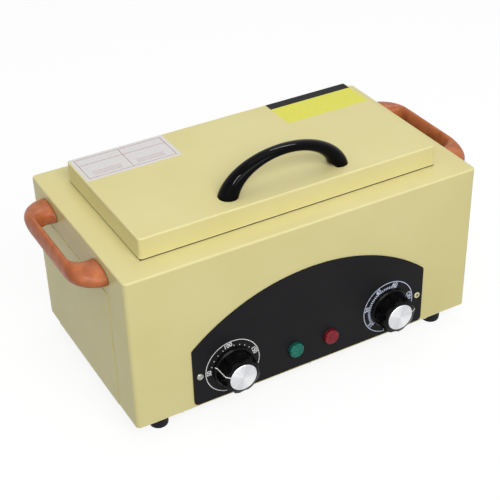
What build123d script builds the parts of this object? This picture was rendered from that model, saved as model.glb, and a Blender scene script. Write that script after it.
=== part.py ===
from build123d import *
import os
from math import cos, pi, sin, sqrt

os.makedirs("parts", exist_ok=True)

# Dry heat sterilizer. Millimetres, +Z up, front towards -Y.
# The origin is on the table, below the middle of the whole object.

# Case
case_width = 320.0
case_depth = 185.0
works_gap = 1.5
case_sheet = 1.0
case_corner_radius = 4.0
case_edge_radius = 1.5
case_flange_width = 10.0
side_field_length = 126.0
side_field_offset = 5.0
side_field_raise = 0.5
side_field_gap = 6.6

# Bottom plate and feet
bottom_sheet = 1.2
bottom_inset_x = 6.0
bottom_inset_y = 1.5
bottom_corner_radius = 3.0
vent_length = 26.0
vent_width = 4.0
vent_pitch_x = 34.0
vent_pitch_y = 12.0
vent_columns = 4
vent_rows = 5
bottom_screw_pitch = 120.0
foot_height = 15.3
foot_top_radius = 8.7
foot_bottom_radius = 7.9
foot_edge_radius = 2.2
foot_inset_x = 24.7
foot_inset_y = 15.5
foot_recess_radius = 3.7
foot_recess_depth = 8.0
foot_head_radius = 3.3

# Front panel
panel_offset_x = 0.8
panel_width = 221.0
panel_shoulder_height = 56.6
panel_apex_height = 98.0
panel_bottom_gap = 2.0
panel_thickness = 1.2
panel_bottom_radius = 4.0
panel_shoulder_radius = 3.0
panel_fixing_inset = 5.75
panel_fixing_height = 30.5
panel_screw_length = 5.2
panel_screw_turn = 30
panel_rivet_length = 3.2
rivet_outer_radius = 2.8
rivet_hole_radius = 1.2
rivet_height = 0.9

# Knobs, with their shafts and the controls behind the panel
knob_inset = 35.3
knob_height = 29.5
knob_gap = 0.7
knob_skirt_radius = 18.0
knob_skirt_height = 3.2
knob_skirt_edge = 2.2
knob_body_radius = 16.9
knob_front_radius = 16.1
knob_bevel_radius = 12.7
knob_bevel_height = 1.7
knob_length = 17.2
knob_hollow_radius = 12.6
knob_hollow_depth = 11.5
knob_hub_radius = 6.0
knob_flutes = 8
knob_flute_radius = 6.0
knob_flute_depth = 1.7
cap_radius = 11.9
cap_thickness = 0.9
cap_seat_depth = 0.6
cap_clearance = 0.05
cap_edge = 0.3
cap_seat_wall = 1.2
shaft_radius = 3.0
shaft_clearance = 0.06
shaft_press_clearance = 0.02
shaft_depth = 8.0
shaft_end_gap = 0.3
bush_radius = 5.0
bush_reach = 4.6
nut_across_flats = 14.0
nut_thickness = 2.2
temperature_pointer = 160.0
timer_pointer = 7.0
control_width = 42.0
control_height = 36.0
control_depth = 22.0
control_edge_radius = 3.0
timer_radius = 20.0
timer_depth = 27.0
timer_rim = 2.0
tag_width = 6.3
tag_thickness = 0.8
tag_length = 8.0
tag_spacing = 16.0

# Pilot lamps
lamp_spacing = 34.0
lamp_height = 22.0
lens_base_radius = 6.9
lens_front_radius = 6.5
lens_reach = 3.6
lens_edge_radius = 0.7
lens_neck_radius = 4.8
lens_neck_length = 9.0
lens_wall = 1.0
holder_radius = 7.0
holder_length = 14.0

# Chamber, a deep-drawn tub hung in the case top
chamber_margin_x = 21.0
chamber_margin_y = 20.0
chamber_depth = 62.0
chamber_sheet = 0.8
chamber_corner_radius = 14.0
chamber_bottom_radius = 8.0
chamber_flange = 9.0
chamber_cutout_gap = 0.6
stud_radius = 2.0
stud_length = 13.0
stud_inset = 9.0

# Heater and its clamp
heater_tube_radius = 3.25
heater_runs = 4
heater_side_gap = 15.0
heater_end_gap = 26.0
heater_bend_slack = 0.4
heater_tail = 4.0
heater_pin_radius = 1.6
heater_pin_length = 9.0
clamp_side_gap = 10.0
clamp_end_gap = 30.0
clamp_sheet = 1.2
clamp_nut_across_flats = 7.0
clamp_nut_thickness = 3.2

# Inner shield and wool
wool_thickness = 18.0
wool_floor = 10.0
wool_heater_room = 14.5
shield_sheet = 0.8
shield_gap = 0.2
shield_flange = 9.0
cutout_radius = 8.0
cutout_height = 7.0
cutout_plate_length = 26.0
cutout_plate_width = 10.0
cutout_plate_thickness = 1.2
cutout_offset = 30.0
bulb_radius = 3.0
bulb_length = 70.0
capillary_radius = 0.9
capillary_bend_radius = 5.1

# Instrument tray
tray_room = 9.0
tray_height = 24.0
tray_sheet = 0.8
tray_corner_radius = 9.0
tray_bottom_radius = 4.0
tray_lip = 4.0
tray_hole_radius = 3.2
tray_hole_inset_x = 20.0
tray_hole_inset_y = 14.5
tray_hole_columns = 11
tray_hole_rows = 4
tray_leg_radius = 4.0
tray_leg_height = 5.0
tray_leg_inset = 8.5
tray_leg_taper = 10
tray_rest_gap = 0.1
bail_wire_radius = 1.3
bail_inset = 18.0
bail_height = 14.0
bail_drop = 9.0
bail_bend_radius = 5.0

# Lid
lid_side_margin = 25.0
lid_front_margin = 22.1
lid_rear_margin = 24.9
lid_height = 17.7
lid_sheet = 1.0
lid_corner_radius = 3.0
lid_edge_radius = 1.2
lid_gap = 1.1
lid_offset_x = -1.2
seal_height = 2.6
seal_width = 6.0
seal_clearance = 0.3
liner_sheet = 0.6
liner_rim = 4.0
wool_clearance = 2.4

# Lid handle, an arch of oval section
handle_span = 100.0
handle_rise = 27.3
handle_sink = 6.9
handle_foot_width = 18.0
handle_foot_thickness = 16.4
handle_top_width = 12.7
handle_top_thickness = 7.2
handle_offset_x = 1.2
handle_front_inset = 19.6
handle_stations = 13
handle_screw_lean = 2.2
handle_notch_width = 3.0
handle_notch_height = 2.8

# Carrying handles
grip_span = 102.3
grip_reach = 24.2
grip_thickness = 7.5
grip_height = 17.6
grip_foot_length = 33.0
grip_foot_height = 16.0
grip_bend_radius = 19.8
grip_drop = 13.9
grip_offset_y = 3.0
grip_bend_steps = 5

# Hinges
hinge_leaf_width = 40.0
hinge_spacing = 170.0
hinge_leaf_thickness = 1.2
hinge_leaf_reach = 17.0
hinge_lid_leaf_height = 11.0
hinge_knuckle_radius = 3.0
hinge_pin_radius = 1.5
hinge_running_clearance = 0.06
hinge_floor_gap = 0.2
hinge_wall_gap = 0.4
hinge_knuckle_length = 11.0
hinge_knuckle_gap = 0.5
hinge_rivet_spacing = 24.0
hinge_countersink_taper = 42
rivet_shank_radius = 1.5
rivet_flush_radius = 2.6
rivet_tail_height = 0.9
rivet_tail_length = 1.0

# Cord bushing in the rear wall
bushing_offset_x = 104.0
bushing_height = 28.0
bushing_flange_radius = 9.5
bushing_flange = 2.2
bushing_body_radius = 7.2
bushing_reach = 9.0
bushing_tail = 8.0
bushing_bore_radius = 3.7

# Terminal block
terminal_length = 46.0
terminal_width = 18.0
terminal_height = 16.0
terminal_slots = 4
terminal_slot_depth = 5.3
terminal_offset_x = 88.0
terminal_rear_gap = 28.0

# Screws
screw_m3_radius = 1.5
screw_m3_head = 2.9
screw_m4_radius = 2.0
screw_m4_head = 3.8
screw_m5_radius = 2.5
screw_m5_head = 4.6
screw_hole_clearance = 0.2
screw_head_height = 2.6
handle_screw_length = 10.0
recess_width = 0.8

# Places worked out from the sizes above
case_bottom = foot_height + bottom_sheet
works_height = knob_height + timer_radius + works_gap
wool_stack = wool_heater_room + wool_floor + shield_gap + shield_sheet
case_height = works_height + wool_stack + chamber_depth
case_top = case_bottom + case_height
knob_reach = panel_thickness + knob_gap + knob_length + cap_thickness - cap_seat_depth
case_y = (knob_reach - bushing_reach) / 2
front_y = case_y - case_depth / 2
rear_y = case_y + case_depth / 2
lid_length = case_width - 2 * lid_side_margin
lid_width = case_depth - lid_front_margin - lid_rear_margin
lid_y = front_y + lid_front_margin + lid_width / 2
lid_rear_y = lid_y + lid_width / 2
lid_bottom = case_top + lid_gap
lid_top = lid_bottom + lid_height
flange_top = case_top + chamber_sheet
chamber_length = lid_length - 2 * chamber_margin_x
chamber_width = lid_width - 2 * chamber_margin_y
tub_floor = flange_top - chamber_depth
tub_under = tub_floor - chamber_sheet
clamp_length = chamber_length - 2 * clamp_end_gap
clamp_width = chamber_width - 2 * clamp_side_gap
heater_run_length = chamber_length - 2 * heater_end_gap
heater_run_pitch = (chamber_width - 2 * heater_side_gap) / (heater_runs - 1)
heater_bend_radius = heater_run_pitch / 2 - heater_bend_slack
stud_spacing_x = clamp_length - 2 * stud_inset
stud_spacing_y = 2 * heater_run_pitch
tray_length = chamber_length - 2 * tray_room
tray_width = chamber_width - 2 * tray_room
tray_hole_pitch_x = (tray_length - 2 * tray_hole_inset_x) / (tray_hole_columns - 1)
tray_hole_pitch_y = (tray_width - 2 * tray_hole_inset_y) / (tray_hole_rows - 1)
grip_level = case_height - grip_drop
side_field_height = grip_level - grip_foot_height / 2 - side_field_gap
knob_z = case_bottom + knob_height
lamp_z = case_bottom + lamp_height
panel_face_y = front_y - panel_thickness
inside_front_y = front_y + case_sheet

# Working planes. On the front planes, x runs right, y runs up and the normal points forward.
floor_plane = Plane.XY
case_bottom_plane = Plane.XY.offset(case_bottom)
case_top_plane = Plane.XY.offset(case_top)
front_plane = Plane.XZ.offset(-front_y)
panel_plane = Plane.XZ.offset(-panel_face_y)
inside_plane = Plane.XZ.offset(-inside_front_y)
rear_plane = Plane.XZ.offset(-rear_y)

knob_offset = panel_width / 2 - knob_inset
control_places = [(panel_offset_x - knob_offset, knob_z), (panel_offset_x + knob_offset, knob_z)]
lamp_places = [(panel_offset_x - lamp_spacing / 2, lamp_z), (panel_offset_x + lamp_spacing / 2, lamp_z)]
panel_fixing_z = case_bottom + panel_fixing_height
panel_fixing_x = panel_width / 2 - panel_fixing_inset
fixing_places = [(panel_offset_x + side * panel_fixing_x, panel_fixing_z) for side in (-1, 1)]
foot_spacing_x = case_width - 2 * foot_inset_x
foot_spacing_y = case_depth - 2 * foot_inset_y
bottom_screw_spacing_y = case_depth - case_flange_width
grip_places = [(case_y + grip_offset_y + end * grip_span / 2, case_bottom + grip_level) for end in (-1, 1)]
hinge_axis_y = lid_rear_y + hinge_wall_gap + hinge_knuckle_radius
hinge_axis_z = case_top + hinge_floor_gap + hinge_knuckle_radius
hinge_xs = [lid_offset_x - hinge_spacing / 2, lid_offset_x + hinge_spacing / 2]
case_rivet_y = hinge_axis_y + hinge_leaf_reach - hinge_knuckle_radius - rivet_flush_radius
lid_rivet_z = lid_bottom + hinge_lid_leaf_height - rivet_flush_radius / 2
handle_y = lid_y - lid_width / 2 + handle_front_inset
bushing_z = case_bottom + bushing_height


def save(piece, name):
    piece.part.label = name
    export_step(piece.part, f"parts/{name}.step")


# Case shell: one folded sheet box, open below, with a return flange all round
with BuildPart() as case_shell:
    with BuildSketch(case_bottom_plane):
        with Locations((0, case_y)):
            RectangleRounded(case_width, case_depth, case_corner_radius)
    extrude(amount=case_height)
    fillet(case_shell.faces().sort_by(Axis.Z)[-1].edges(), radius=case_edge_radius)
    with BuildSketch(case_bottom_plane):
        with Locations((0, case_y)):
            RectangleRounded(
                case_width - 2 * case_sheet, case_depth - 2 * case_sheet, case_corner_radius - case_sheet
            )
    extrude(amount=case_height - case_sheet, mode=Mode.SUBTRACT)
    with BuildSketch(case_bottom_plane):
        with Locations((0, case_y)):
            RectangleRounded(case_width, case_depth, case_corner_radius)
            Rectangle(
                case_width - 2 * case_flange_width, case_depth - 2 * case_flange_width, mode=Mode.SUBTRACT
            )
    extrude(amount=case_sheet)
    # Pressed fields in both side walls, raised outside and hollow inside
    for side in (-1, 1):
        with BuildSketch(Plane.YZ.offset(side * case_width / 2)):
            with Locations((case_y + side_field_offset, case_bottom + side_field_height / 2)):
                Rectangle(side_field_length, side_field_height)
        extrude(amount=side * side_field_raise)
        with BuildSketch(Plane.YZ.offset(side * (case_width / 2 - case_sheet))):
            with Locations((case_y + side_field_offset, case_bottom + side_field_height / 2 + case_sheet)):
                Rectangle(side_field_length - 2 * case_sheet, side_field_height - 2 * case_sheet)
        extrude(amount=side * side_field_raise, mode=Mode.SUBTRACT)
        with BuildSketch(Plane.YZ.offset(side * case_width / 2)):
            with Locations(*grip_places):
                Circle(screw_m5_radius + screw_hole_clearance)
        extrude(amount=-side * case_sheet, mode=Mode.SUBTRACT)
    # Opening for the tub and holes for the hinge rivets
    with BuildSketch(case_top_plane):
        with Locations((lid_offset_x, lid_y)):
            RectangleRounded(
                chamber_length + 2 * chamber_sheet + 2 * chamber_cutout_gap,
                chamber_width + 2 * chamber_sheet + 2 * chamber_cutout_gap,
                chamber_corner_radius + chamber_sheet + chamber_cutout_gap,
            )
        with Locations(*[(x, case_rivet_y) for x in hinge_xs]):
            with GridLocations(hinge_rivet_spacing, 1, 2, 1):
                Circle(rivet_shank_radius)
    extrude(amount=-case_sheet, mode=Mode.SUBTRACT)
    # Front holes for the bushes, lamps and panel fixings
    with BuildSketch(front_plane):
        with Locations(*control_places):
            Circle(bush_radius + screw_hole_clearance)
        with Locations(*lamp_places):
            Circle(lens_neck_radius + screw_hole_clearance)
        with Locations(*fixing_places):
            Circle(screw_m3_radius)
    extrude(amount=-case_sheet, mode=Mode.SUBTRACT)
    # Rear hole for the cord bushing
    with BuildSketch(rear_plane):
        with Locations((bushing_offset_x, bushing_z)):
            Circle(bushing_body_radius)
    extrude(amount=case_sheet, mode=Mode.SUBTRACT)
    # Holes for the bottom screws
    with BuildSketch(case_bottom_plane):
        with Locations((0, case_y)):
            with GridLocations(bottom_screw_pitch, bottom_screw_spacing_y, 3, 2):
                Circle(screw_m3_radius)
    extrude(amount=case_sheet, mode=Mode.SUBTRACT)
save(case_shell, "case_shell")

# Bottom plate with rows of vent slots
with BuildPart() as bottom_plate:
    with BuildSketch(case_bottom_plane):
        with Locations((0, case_y)):
            RectangleRounded(
                case_width - 2 * bottom_inset_x, case_depth - 2 * bottom_inset_y, bottom_corner_radius
            )
            with GridLocations(vent_pitch_x, vent_pitch_y, vent_columns, vent_rows):
                SlotOverall(vent_length, vent_width, mode=Mode.SUBTRACT)
            with GridLocations(foot_spacing_x, foot_spacing_y, 2, 2):
                Circle(screw_m4_radius + screw_hole_clearance, mode=Mode.SUBTRACT)
            with GridLocations(bottom_screw_pitch, bottom_screw_spacing_y, 3, 2):
                Circle(screw_m3_radius + screw_hole_clearance, mode=Mode.SUBTRACT)
    extrude(amount=-bottom_sheet)
save(bottom_plate, "bottom_plate")

with BuildPart() as bottom_screws:
    with BuildSketch(Plane.XY.offset(case_bottom - bottom_sheet)):
        with Locations((0, case_y)):
            with GridLocations(bottom_screw_pitch, bottom_screw_spacing_y, 3, 2):
                Circle(screw_m3_head)
    extrude(amount=-screw_m3_radius)
    with BuildSketch(Plane.XY.offset(case_bottom - bottom_sheet)):
        with Locations((0, case_y)):
            with GridLocations(bottom_screw_pitch, bottom_screw_spacing_y, 3, 2):
                Circle(screw_m3_radius)
    extrude(amount=bottom_sheet + 2 * case_sheet)
save(bottom_screws, "bottom_screws")

# Rubber feet: tapered, round at the bottom edge, with a deep recess for the screw
with BuildPart() as rubber_feet:
    with Locations((0, case_y, 0)):
        with GridLocations(foot_spacing_x, foot_spacing_y, 2, 2):
            Cone(
                foot_bottom_radius,
                foot_top_radius,
                foot_height,
                align=(Align.CENTER, Align.CENTER, Align.MIN),
            )
    fillet(rubber_feet.edges().group_by(Axis.Z)[0], radius=foot_edge_radius)
    with BuildSketch(floor_plane):
        with Locations((0, case_y)):
            with GridLocations(foot_spacing_x, foot_spacing_y, 2, 2):
                Circle(foot_recess_radius)
    extrude(amount=foot_recess_depth, mode=Mode.SUBTRACT)
    with BuildSketch(floor_plane):
        with Locations((0, case_y)):
            with GridLocations(foot_spacing_x, foot_spacing_y, 2, 2):
                Circle(screw_m4_radius + screw_hole_clearance / 2)
    extrude(amount=foot_height, mode=Mode.SUBTRACT)
save(rubber_feet, "rubber_feet")

with BuildPart() as foot_screws:
    with BuildSketch(Plane.XY.offset(foot_recess_depth)):
        with Locations((0, case_y)):
            with GridLocations(foot_spacing_x, foot_spacing_y, 2, 2):
                Circle(foot_head_radius)
    extrude(amount=-screw_m4_radius)
    with BuildSketch(Plane.XY.offset(foot_recess_depth)):
        with Locations((0, case_y)):
            with GridLocations(foot_spacing_x, foot_spacing_y, 2, 2):
                Circle(screw_m4_radius)
    extrude(amount=case_bottom - foot_recess_depth + clamp_nut_thickness + case_sheet)
    with BuildSketch(case_bottom_plane):
        with Locations((0, case_y)):
            with GridLocations(foot_spacing_x, foot_spacing_y, 2, 2):
                RegularPolygon(clamp_nut_across_flats / 2, 6, major_radius=False)
    extrude(amount=clamp_nut_thickness)
save(foot_screws, "foot_screws")

# Front panel: straight sides to the shoulders, one arc over the top
panel_left = panel_offset_x - panel_width / 2
panel_right = panel_offset_x + panel_width / 2
panel_bottom = case_bottom + panel_bottom_gap
panel_shoulder = case_bottom + panel_shoulder_height
panel_apex = case_bottom + panel_apex_height
with BuildPart() as front_panel:
    with BuildSketch(front_plane) as panel_outline:
        with BuildLine():
            Line((panel_left, panel_shoulder), (panel_left, panel_bottom))
            Line((panel_left, panel_bottom), (panel_right, panel_bottom))
            Line((panel_right, panel_bottom), (panel_right, panel_shoulder))
            ThreePointArc(
                (panel_right, panel_shoulder), (panel_offset_x, panel_apex), (panel_left, panel_shoulder)
            )
        make_face()
        fillet(panel_outline.vertices().group_by(Axis.Y)[0], radius=panel_bottom_radius)
        fillet(panel_outline.vertices().group_by(Axis.Y)[-1], radius=panel_shoulder_radius)
        with Locations(*control_places):
            Circle(bush_radius + screw_hole_clearance, mode=Mode.SUBTRACT)
        with Locations(*lamp_places):
            Circle(lens_neck_radius + screw_hole_clearance, mode=Mode.SUBTRACT)
        with Locations(*fixing_places):
            Circle(screw_m3_radius + screw_hole_clearance, mode=Mode.SUBTRACT)
    extrude(amount=panel_thickness)
save(front_panel, "front_panel")

# Panel fixings: a cross-recessed screw on the left, a hollow rivet on the right
with BuildPart() as panel_screw:
    with BuildSketch(panel_plane):
        with Locations(fixing_places[0]):
            Circle(screw_m3_head)
    extrude(amount=screw_m3_radius)
    fillet(panel_screw.edges().group_by(Axis.Y)[0], radius=screw_m3_radius / 2)
    with BuildSketch(panel_plane):
        with Locations(fixing_places[0]):
            Circle(screw_m3_radius - screw_hole_clearance / 4)
    extrude(amount=-panel_screw_length)
    with BuildSketch(panel_plane.offset(screw_m3_radius)):
        with Locations(fixing_places[0]):
            Rectangle(screw_m3_head, recess_width, rotation=panel_screw_turn)
            Rectangle(recess_width, screw_m3_head, rotation=panel_screw_turn)
    extrude(amount=-recess_width, mode=Mode.SUBTRACT)
save(panel_screw, "panel_screw")

with BuildPart() as panel_rivet:
    with BuildSketch(panel_plane):
        with Locations(fixing_places[1]):
            Circle(rivet_outer_radius)
    extrude(amount=rivet_height)
    fillet(panel_rivet.edges().group_by(Axis.Y)[0], radius=rivet_height / 2)
    with BuildSketch(panel_plane):
        with Locations(fixing_places[1]):
            Circle(screw_m3_radius)
    extrude(amount=-panel_rivet_length)
    with BuildSketch(panel_plane.offset(rivet_height)):
        with Locations(fixing_places[1]):
            Circle(rivet_hole_radius)
    extrude(amount=-(rivet_height + panel_rivet_length), mode=Mode.SUBTRACT)
save(panel_rivet, "panel_rivet")


# Knobs: a turned blank with a hollow underside, then the flutes cut round it
def fluted_knob(place, pointer, name):
    x, z = place
    foot = knob_gap
    hub_foot = bush_reach + knob_gap
    seat = knob_gap + knob_length - cap_seat_depth
    front = knob_gap + knob_length
    radial = Plane(origin=(x, panel_face_y, z), x_dir=(1, 0, 0), z_dir=(0, 0, -1))
    face = Plane(origin=(x, panel_face_y, z), x_dir=(1, 0, 0), z_dir=(0, -1, 0))
    with BuildPart() as knob:
        with BuildSketch(radial):
            with BuildLine():
                Polyline(
                    (shaft_radius + shaft_press_clearance, hub_foot),
                    (knob_hub_radius, hub_foot),
                    (knob_hub_radius, knob_hollow_depth),
                    (knob_hollow_radius, knob_hollow_depth),
                    (knob_hollow_radius, foot),
                    (knob_skirt_radius, foot),
                    (knob_skirt_radius, foot + knob_skirt_edge),
                    (knob_body_radius, foot + knob_skirt_height),
                    (knob_front_radius, front - knob_bevel_height),
                    (knob_bevel_radius, front),
                    (cap_radius + cap_clearance, front),
                    (cap_radius + cap_clearance, seat),
                    (0, seat),
                    (0, seat - cap_seat_wall),
                    (shaft_radius + shaft_press_clearance, seat - cap_seat_wall),
                    close=True,
                )
            make_face()
        revolve(axis=Axis((x, panel_face_y, z), (0, -1, 0)))
        flute_orbit = knob_front_radius + knob_flute_radius - knob_flute_depth
        with BuildSketch(face.offset(foot + knob_skirt_height)):
            with PolarLocations(flute_orbit, knob_flutes, start_angle=pointer + 180 / knob_flutes):
                Circle(knob_flute_radius)
        extrude(amount=knob_length, mode=Mode.SUBTRACT)
    save(knob, name)
    with BuildPart() as cap:
        with BuildSketch(face.offset(seat)):
            Circle(cap_radius)
        extrude(amount=cap_thickness)
        chamfer(cap.edges().group_by(Axis.Y)[0], length=cap_edge)
    save(cap, f"{name}_cap")


fluted_knob(control_places[0], temperature_pointer, "temperature_knob")
fluted_knob(control_places[1], timer_pointer, "timer_knob")


# Shafts run from inside each control to the hub of its knob
def control_shaft(place, depth, name):
    tip = knob_gap + knob_length - cap_seat_depth - cap_seat_wall
    with BuildPart() as shaft:
        with BuildSketch(panel_plane.offset(tip)):
            with Locations(place):
                Circle(shaft_radius)
        extrude(amount=-(tip + panel_thickness + case_sheet + depth))
    save(shaft, name)


control_shaft(control_places[0], shaft_depth, "temperature_shaft")
control_shaft(control_places[1], shaft_depth, "timer_shaft")

# Temperature control: a capillary switch on a threaded bush
with BuildPart() as temperature_control:
    with BuildSketch(inside_plane):
        with Locations(control_places[0]):
            RectangleRounded(control_width, control_height, control_edge_radius)
    extrude(amount=-control_depth)
    with BuildSketch(inside_plane):
        with Locations(control_places[0]):
            Circle(bush_radius)
    extrude(amount=case_sheet + panel_thickness + bush_reach)
    with BuildSketch(inside_plane.offset(case_sheet + panel_thickness + bush_reach)):
        with Locations(control_places[0]):
            Circle(shaft_radius + shaft_clearance)
    extrude(
        amount=-(case_sheet + panel_thickness + bush_reach + shaft_depth + shaft_end_gap),
        mode=Mode.SUBTRACT,
    )
    with BuildSketch(inside_plane.offset(-control_depth)):
        with Locations(control_places[0]):
            with GridLocations(tag_spacing, 1, 2, 1):
                Rectangle(tag_thickness, tag_width)
    extrude(amount=-tag_length)
save(temperature_control, "temperature_control")

# Timer: a round clockwork case with two tags
with BuildPart() as timer:
    with BuildSketch(inside_plane):
        with Locations(control_places[1]):
            Circle(timer_radius)
    extrude(amount=-timer_rim)
    with BuildSketch(inside_plane.offset(-timer_rim)):
        with Locations(control_places[1]):
            Circle(timer_radius - timer_rim)
    extrude(amount=-(timer_depth - timer_rim))
    with BuildSketch(inside_plane):
        with Locations(control_places[1]):
            Circle(bush_radius)
    extrude(amount=case_sheet + panel_thickness + bush_reach)
    with BuildSketch(inside_plane.offset(case_sheet + panel_thickness + bush_reach)):
        with Locations(control_places[1]):
            Circle(shaft_radius + shaft_clearance)
    extrude(
        amount=-(case_sheet + panel_thickness + bush_reach + shaft_depth + shaft_end_gap),
        mode=Mode.SUBTRACT,
    )
    with BuildSketch(inside_plane.offset(-timer_depth)):
        with Locations(control_places[1]):
            with GridLocations(tag_spacing, 1, 2, 1):
                Rectangle(tag_thickness, tag_width)
    extrude(amount=-tag_length)
save(timer, "timer")

for place, name in zip(control_places, ("temperature_nut", "timer_nut")):
    with BuildPart() as bush_nut:
        with BuildSketch(panel_plane):
            with Locations(place):
                RegularPolygon(nut_across_flats / 2, 6, major_radius=False)
                Circle(bush_radius + shaft_clearance / 2, mode=Mode.SUBTRACT)
        extrude(amount=nut_thickness)
    save(bush_nut, name)

# Pilot lamps: a hollow lens pressed through the panel, and the holder clipped on its neck
for (x, z), colour in zip(lamp_places, ("green", "red")):
    radial = Plane(origin=(x, panel_face_y, z), x_dir=(1, 0, 0), z_dir=(0, 0, -1))
    lamp_axis = Axis((x, panel_face_y, z), (0, -1, 0))
    with BuildPart() as lamp_lens:
        with BuildSketch(radial) as lens_section:
            with BuildLine():
                Polyline(
                    (0, lens_reach),
                    (lens_front_radius, lens_reach),
                    (lens_base_radius, 0),
                    (lens_neck_radius, 0),
                    (lens_neck_radius, -lens_neck_length),
                    (lens_neck_radius - lens_wall, -lens_neck_length),
                    (lens_neck_radius - lens_wall, lens_reach - 2 * lens_wall),
                    (0, lens_reach - 2 * lens_wall),
                    close=True,
                )
            make_face()
        revolve(axis=lamp_axis)
        fillet(lamp_lens.edges().group_by(Axis.Y)[0], radius=lens_edge_radius)
    save(lamp_lens, f"{colour}_lamp_lens")
    with BuildPart() as lamp_holder:
        with BuildSketch(inside_plane):
            with Locations((x, z)):
                Circle(holder_radius)
        extrude(amount=-holder_length)
        with BuildSketch(inside_plane):
            with Locations((x, z)):
                Circle(lens_neck_radius + shaft_clearance)
        extrude(amount=-(lens_neck_length - panel_thickness - case_sheet + lens_wall), mode=Mode.SUBTRACT)
        with BuildSketch(inside_plane.offset(-holder_length)):
            with Locations((x, z)):
                with GridLocations(holder_radius, 1, 2, 1):
                    Rectangle(tag_thickness, tag_width / 2)
        extrude(amount=-tag_length)
    save(lamp_holder, f"{colour}_lamp_holder")

# Chamber: the tub, its flange on the case top and four studs below for the heater clamp
with BuildPart() as chamber:
    with BuildSketch(Plane.XY.offset(flange_top)):
        with Locations((lid_offset_x, lid_y)):
            RectangleRounded(
                chamber_length + 2 * chamber_sheet,
                chamber_width + 2 * chamber_sheet,
                chamber_corner_radius + chamber_sheet,
            )
    extrude(amount=-(chamber_depth + chamber_sheet))
    fillet(chamber.faces().sort_by(Axis.Z)[0].edges(), radius=chamber_bottom_radius + chamber_sheet)
    offset(amount=-chamber_sheet, openings=chamber.faces().sort_by(Axis.Z)[-1])
    with BuildSketch(Plane.XY.offset(flange_top)):
        with Locations((lid_offset_x, lid_y)):
            RectangleRounded(
                chamber_length + 2 * chamber_flange,
                chamber_width + 2 * chamber_flange,
                chamber_corner_radius + chamber_flange,
            )
            RectangleRounded(chamber_length, chamber_width, chamber_corner_radius, mode=Mode.SUBTRACT)
    extrude(amount=-chamber_sheet)
    with BuildSketch(Plane.XY.offset(tub_under)):
        with Locations((lid_offset_x, lid_y)):
            with GridLocations(stud_spacing_x, stud_spacing_y, 2, 2):
                Circle(stud_radius)
    extrude(amount=-stud_length)
save(chamber, "chamber")

# Sizes of the wool and of the shield round it
wool_length = chamber_length + 2 * chamber_sheet + 2 * wool_thickness
wool_width = chamber_width + 2 * chamber_sheet + 2 * wool_thickness
wool_top = case_top - case_sheet
wool_cavity_floor = tub_under - wool_heater_room
wool_bottom = wool_cavity_floor - wool_floor
shield_length = wool_length + 2 * shield_gap
shield_width = wool_width + 2 * shield_gap
shield_bottom = wool_bottom - shield_gap

# Heating element: one tube bent into four runs under the tub, with a pin at each end
heater_z = tub_under - heater_tube_radius
heater_end = lid_offset_x + shield_length / 2 + shield_sheet + heater_tail
heater_left = lid_offset_x - heater_run_length / 2
heater_right = lid_offset_x + heater_run_length / 2
run_ys = [lid_y + heater_run_pitch * (run - (heater_runs - 1) / 2) for run in range(heater_runs)]
with BuildPart() as heating_element:
    with BuildLine(Plane.XY.offset(heater_z)) as heater_path:
        FilletPolyline(
            (heater_end, run_ys[0]),
            (heater_left, run_ys[0]),
            (heater_left, run_ys[1]),
            (heater_right, run_ys[1]),
            (heater_right, run_ys[2]),
            (heater_left, run_ys[2]),
            (heater_left, run_ys[3]),
            (heater_end, run_ys[3]),
            radius=heater_bend_radius,
        )
    with BuildSketch(Plane(origin=(heater_end, run_ys[0], heater_z), z_dir=(-1, 0, 0))):
        Circle(heater_tube_radius)
    sweep()
    with BuildSketch(Plane(origin=(heater_end, lid_y, heater_z), x_dir=(0, 1, 0), z_dir=(1, 0, 0))):
        with GridLocations(run_ys[-1] - run_ys[0], 1, 2, 1):
            Circle(heater_pin_radius)
    extrude(amount=heater_pin_length)
save(heating_element, "heating_element")

clamp_top = heater_z - heater_tube_radius
with BuildPart() as heater_clamp_plate:
    with BuildSketch(Plane.XY.offset(clamp_top)):
        with Locations((lid_offset_x, lid_y)):
            RectangleRounded(clamp_length, clamp_width, bottom_corner_radius)
            with GridLocations(stud_spacing_x, stud_spacing_y, 2, 2):
                Circle(stud_radius + screw_hole_clearance, mode=Mode.SUBTRACT)
    extrude(amount=-clamp_sheet)
save(heater_clamp_plate, "heater_clamp_plate")

with BuildPart() as clamp_nuts:
    with BuildSketch(Plane.XY.offset(clamp_top - clamp_sheet)):
        with Locations((lid_offset_x, lid_y)):
            with GridLocations(stud_spacing_x, stud_spacing_y, 2, 2):
                RegularPolygon(clamp_nut_across_flats / 2, 6, major_radius=False)
                Circle(stud_radius + shaft_clearance / 2, mode=Mode.SUBTRACT)
    extrude(amount=-clamp_nut_thickness)
save(clamp_nuts, "clamp_nuts")

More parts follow.
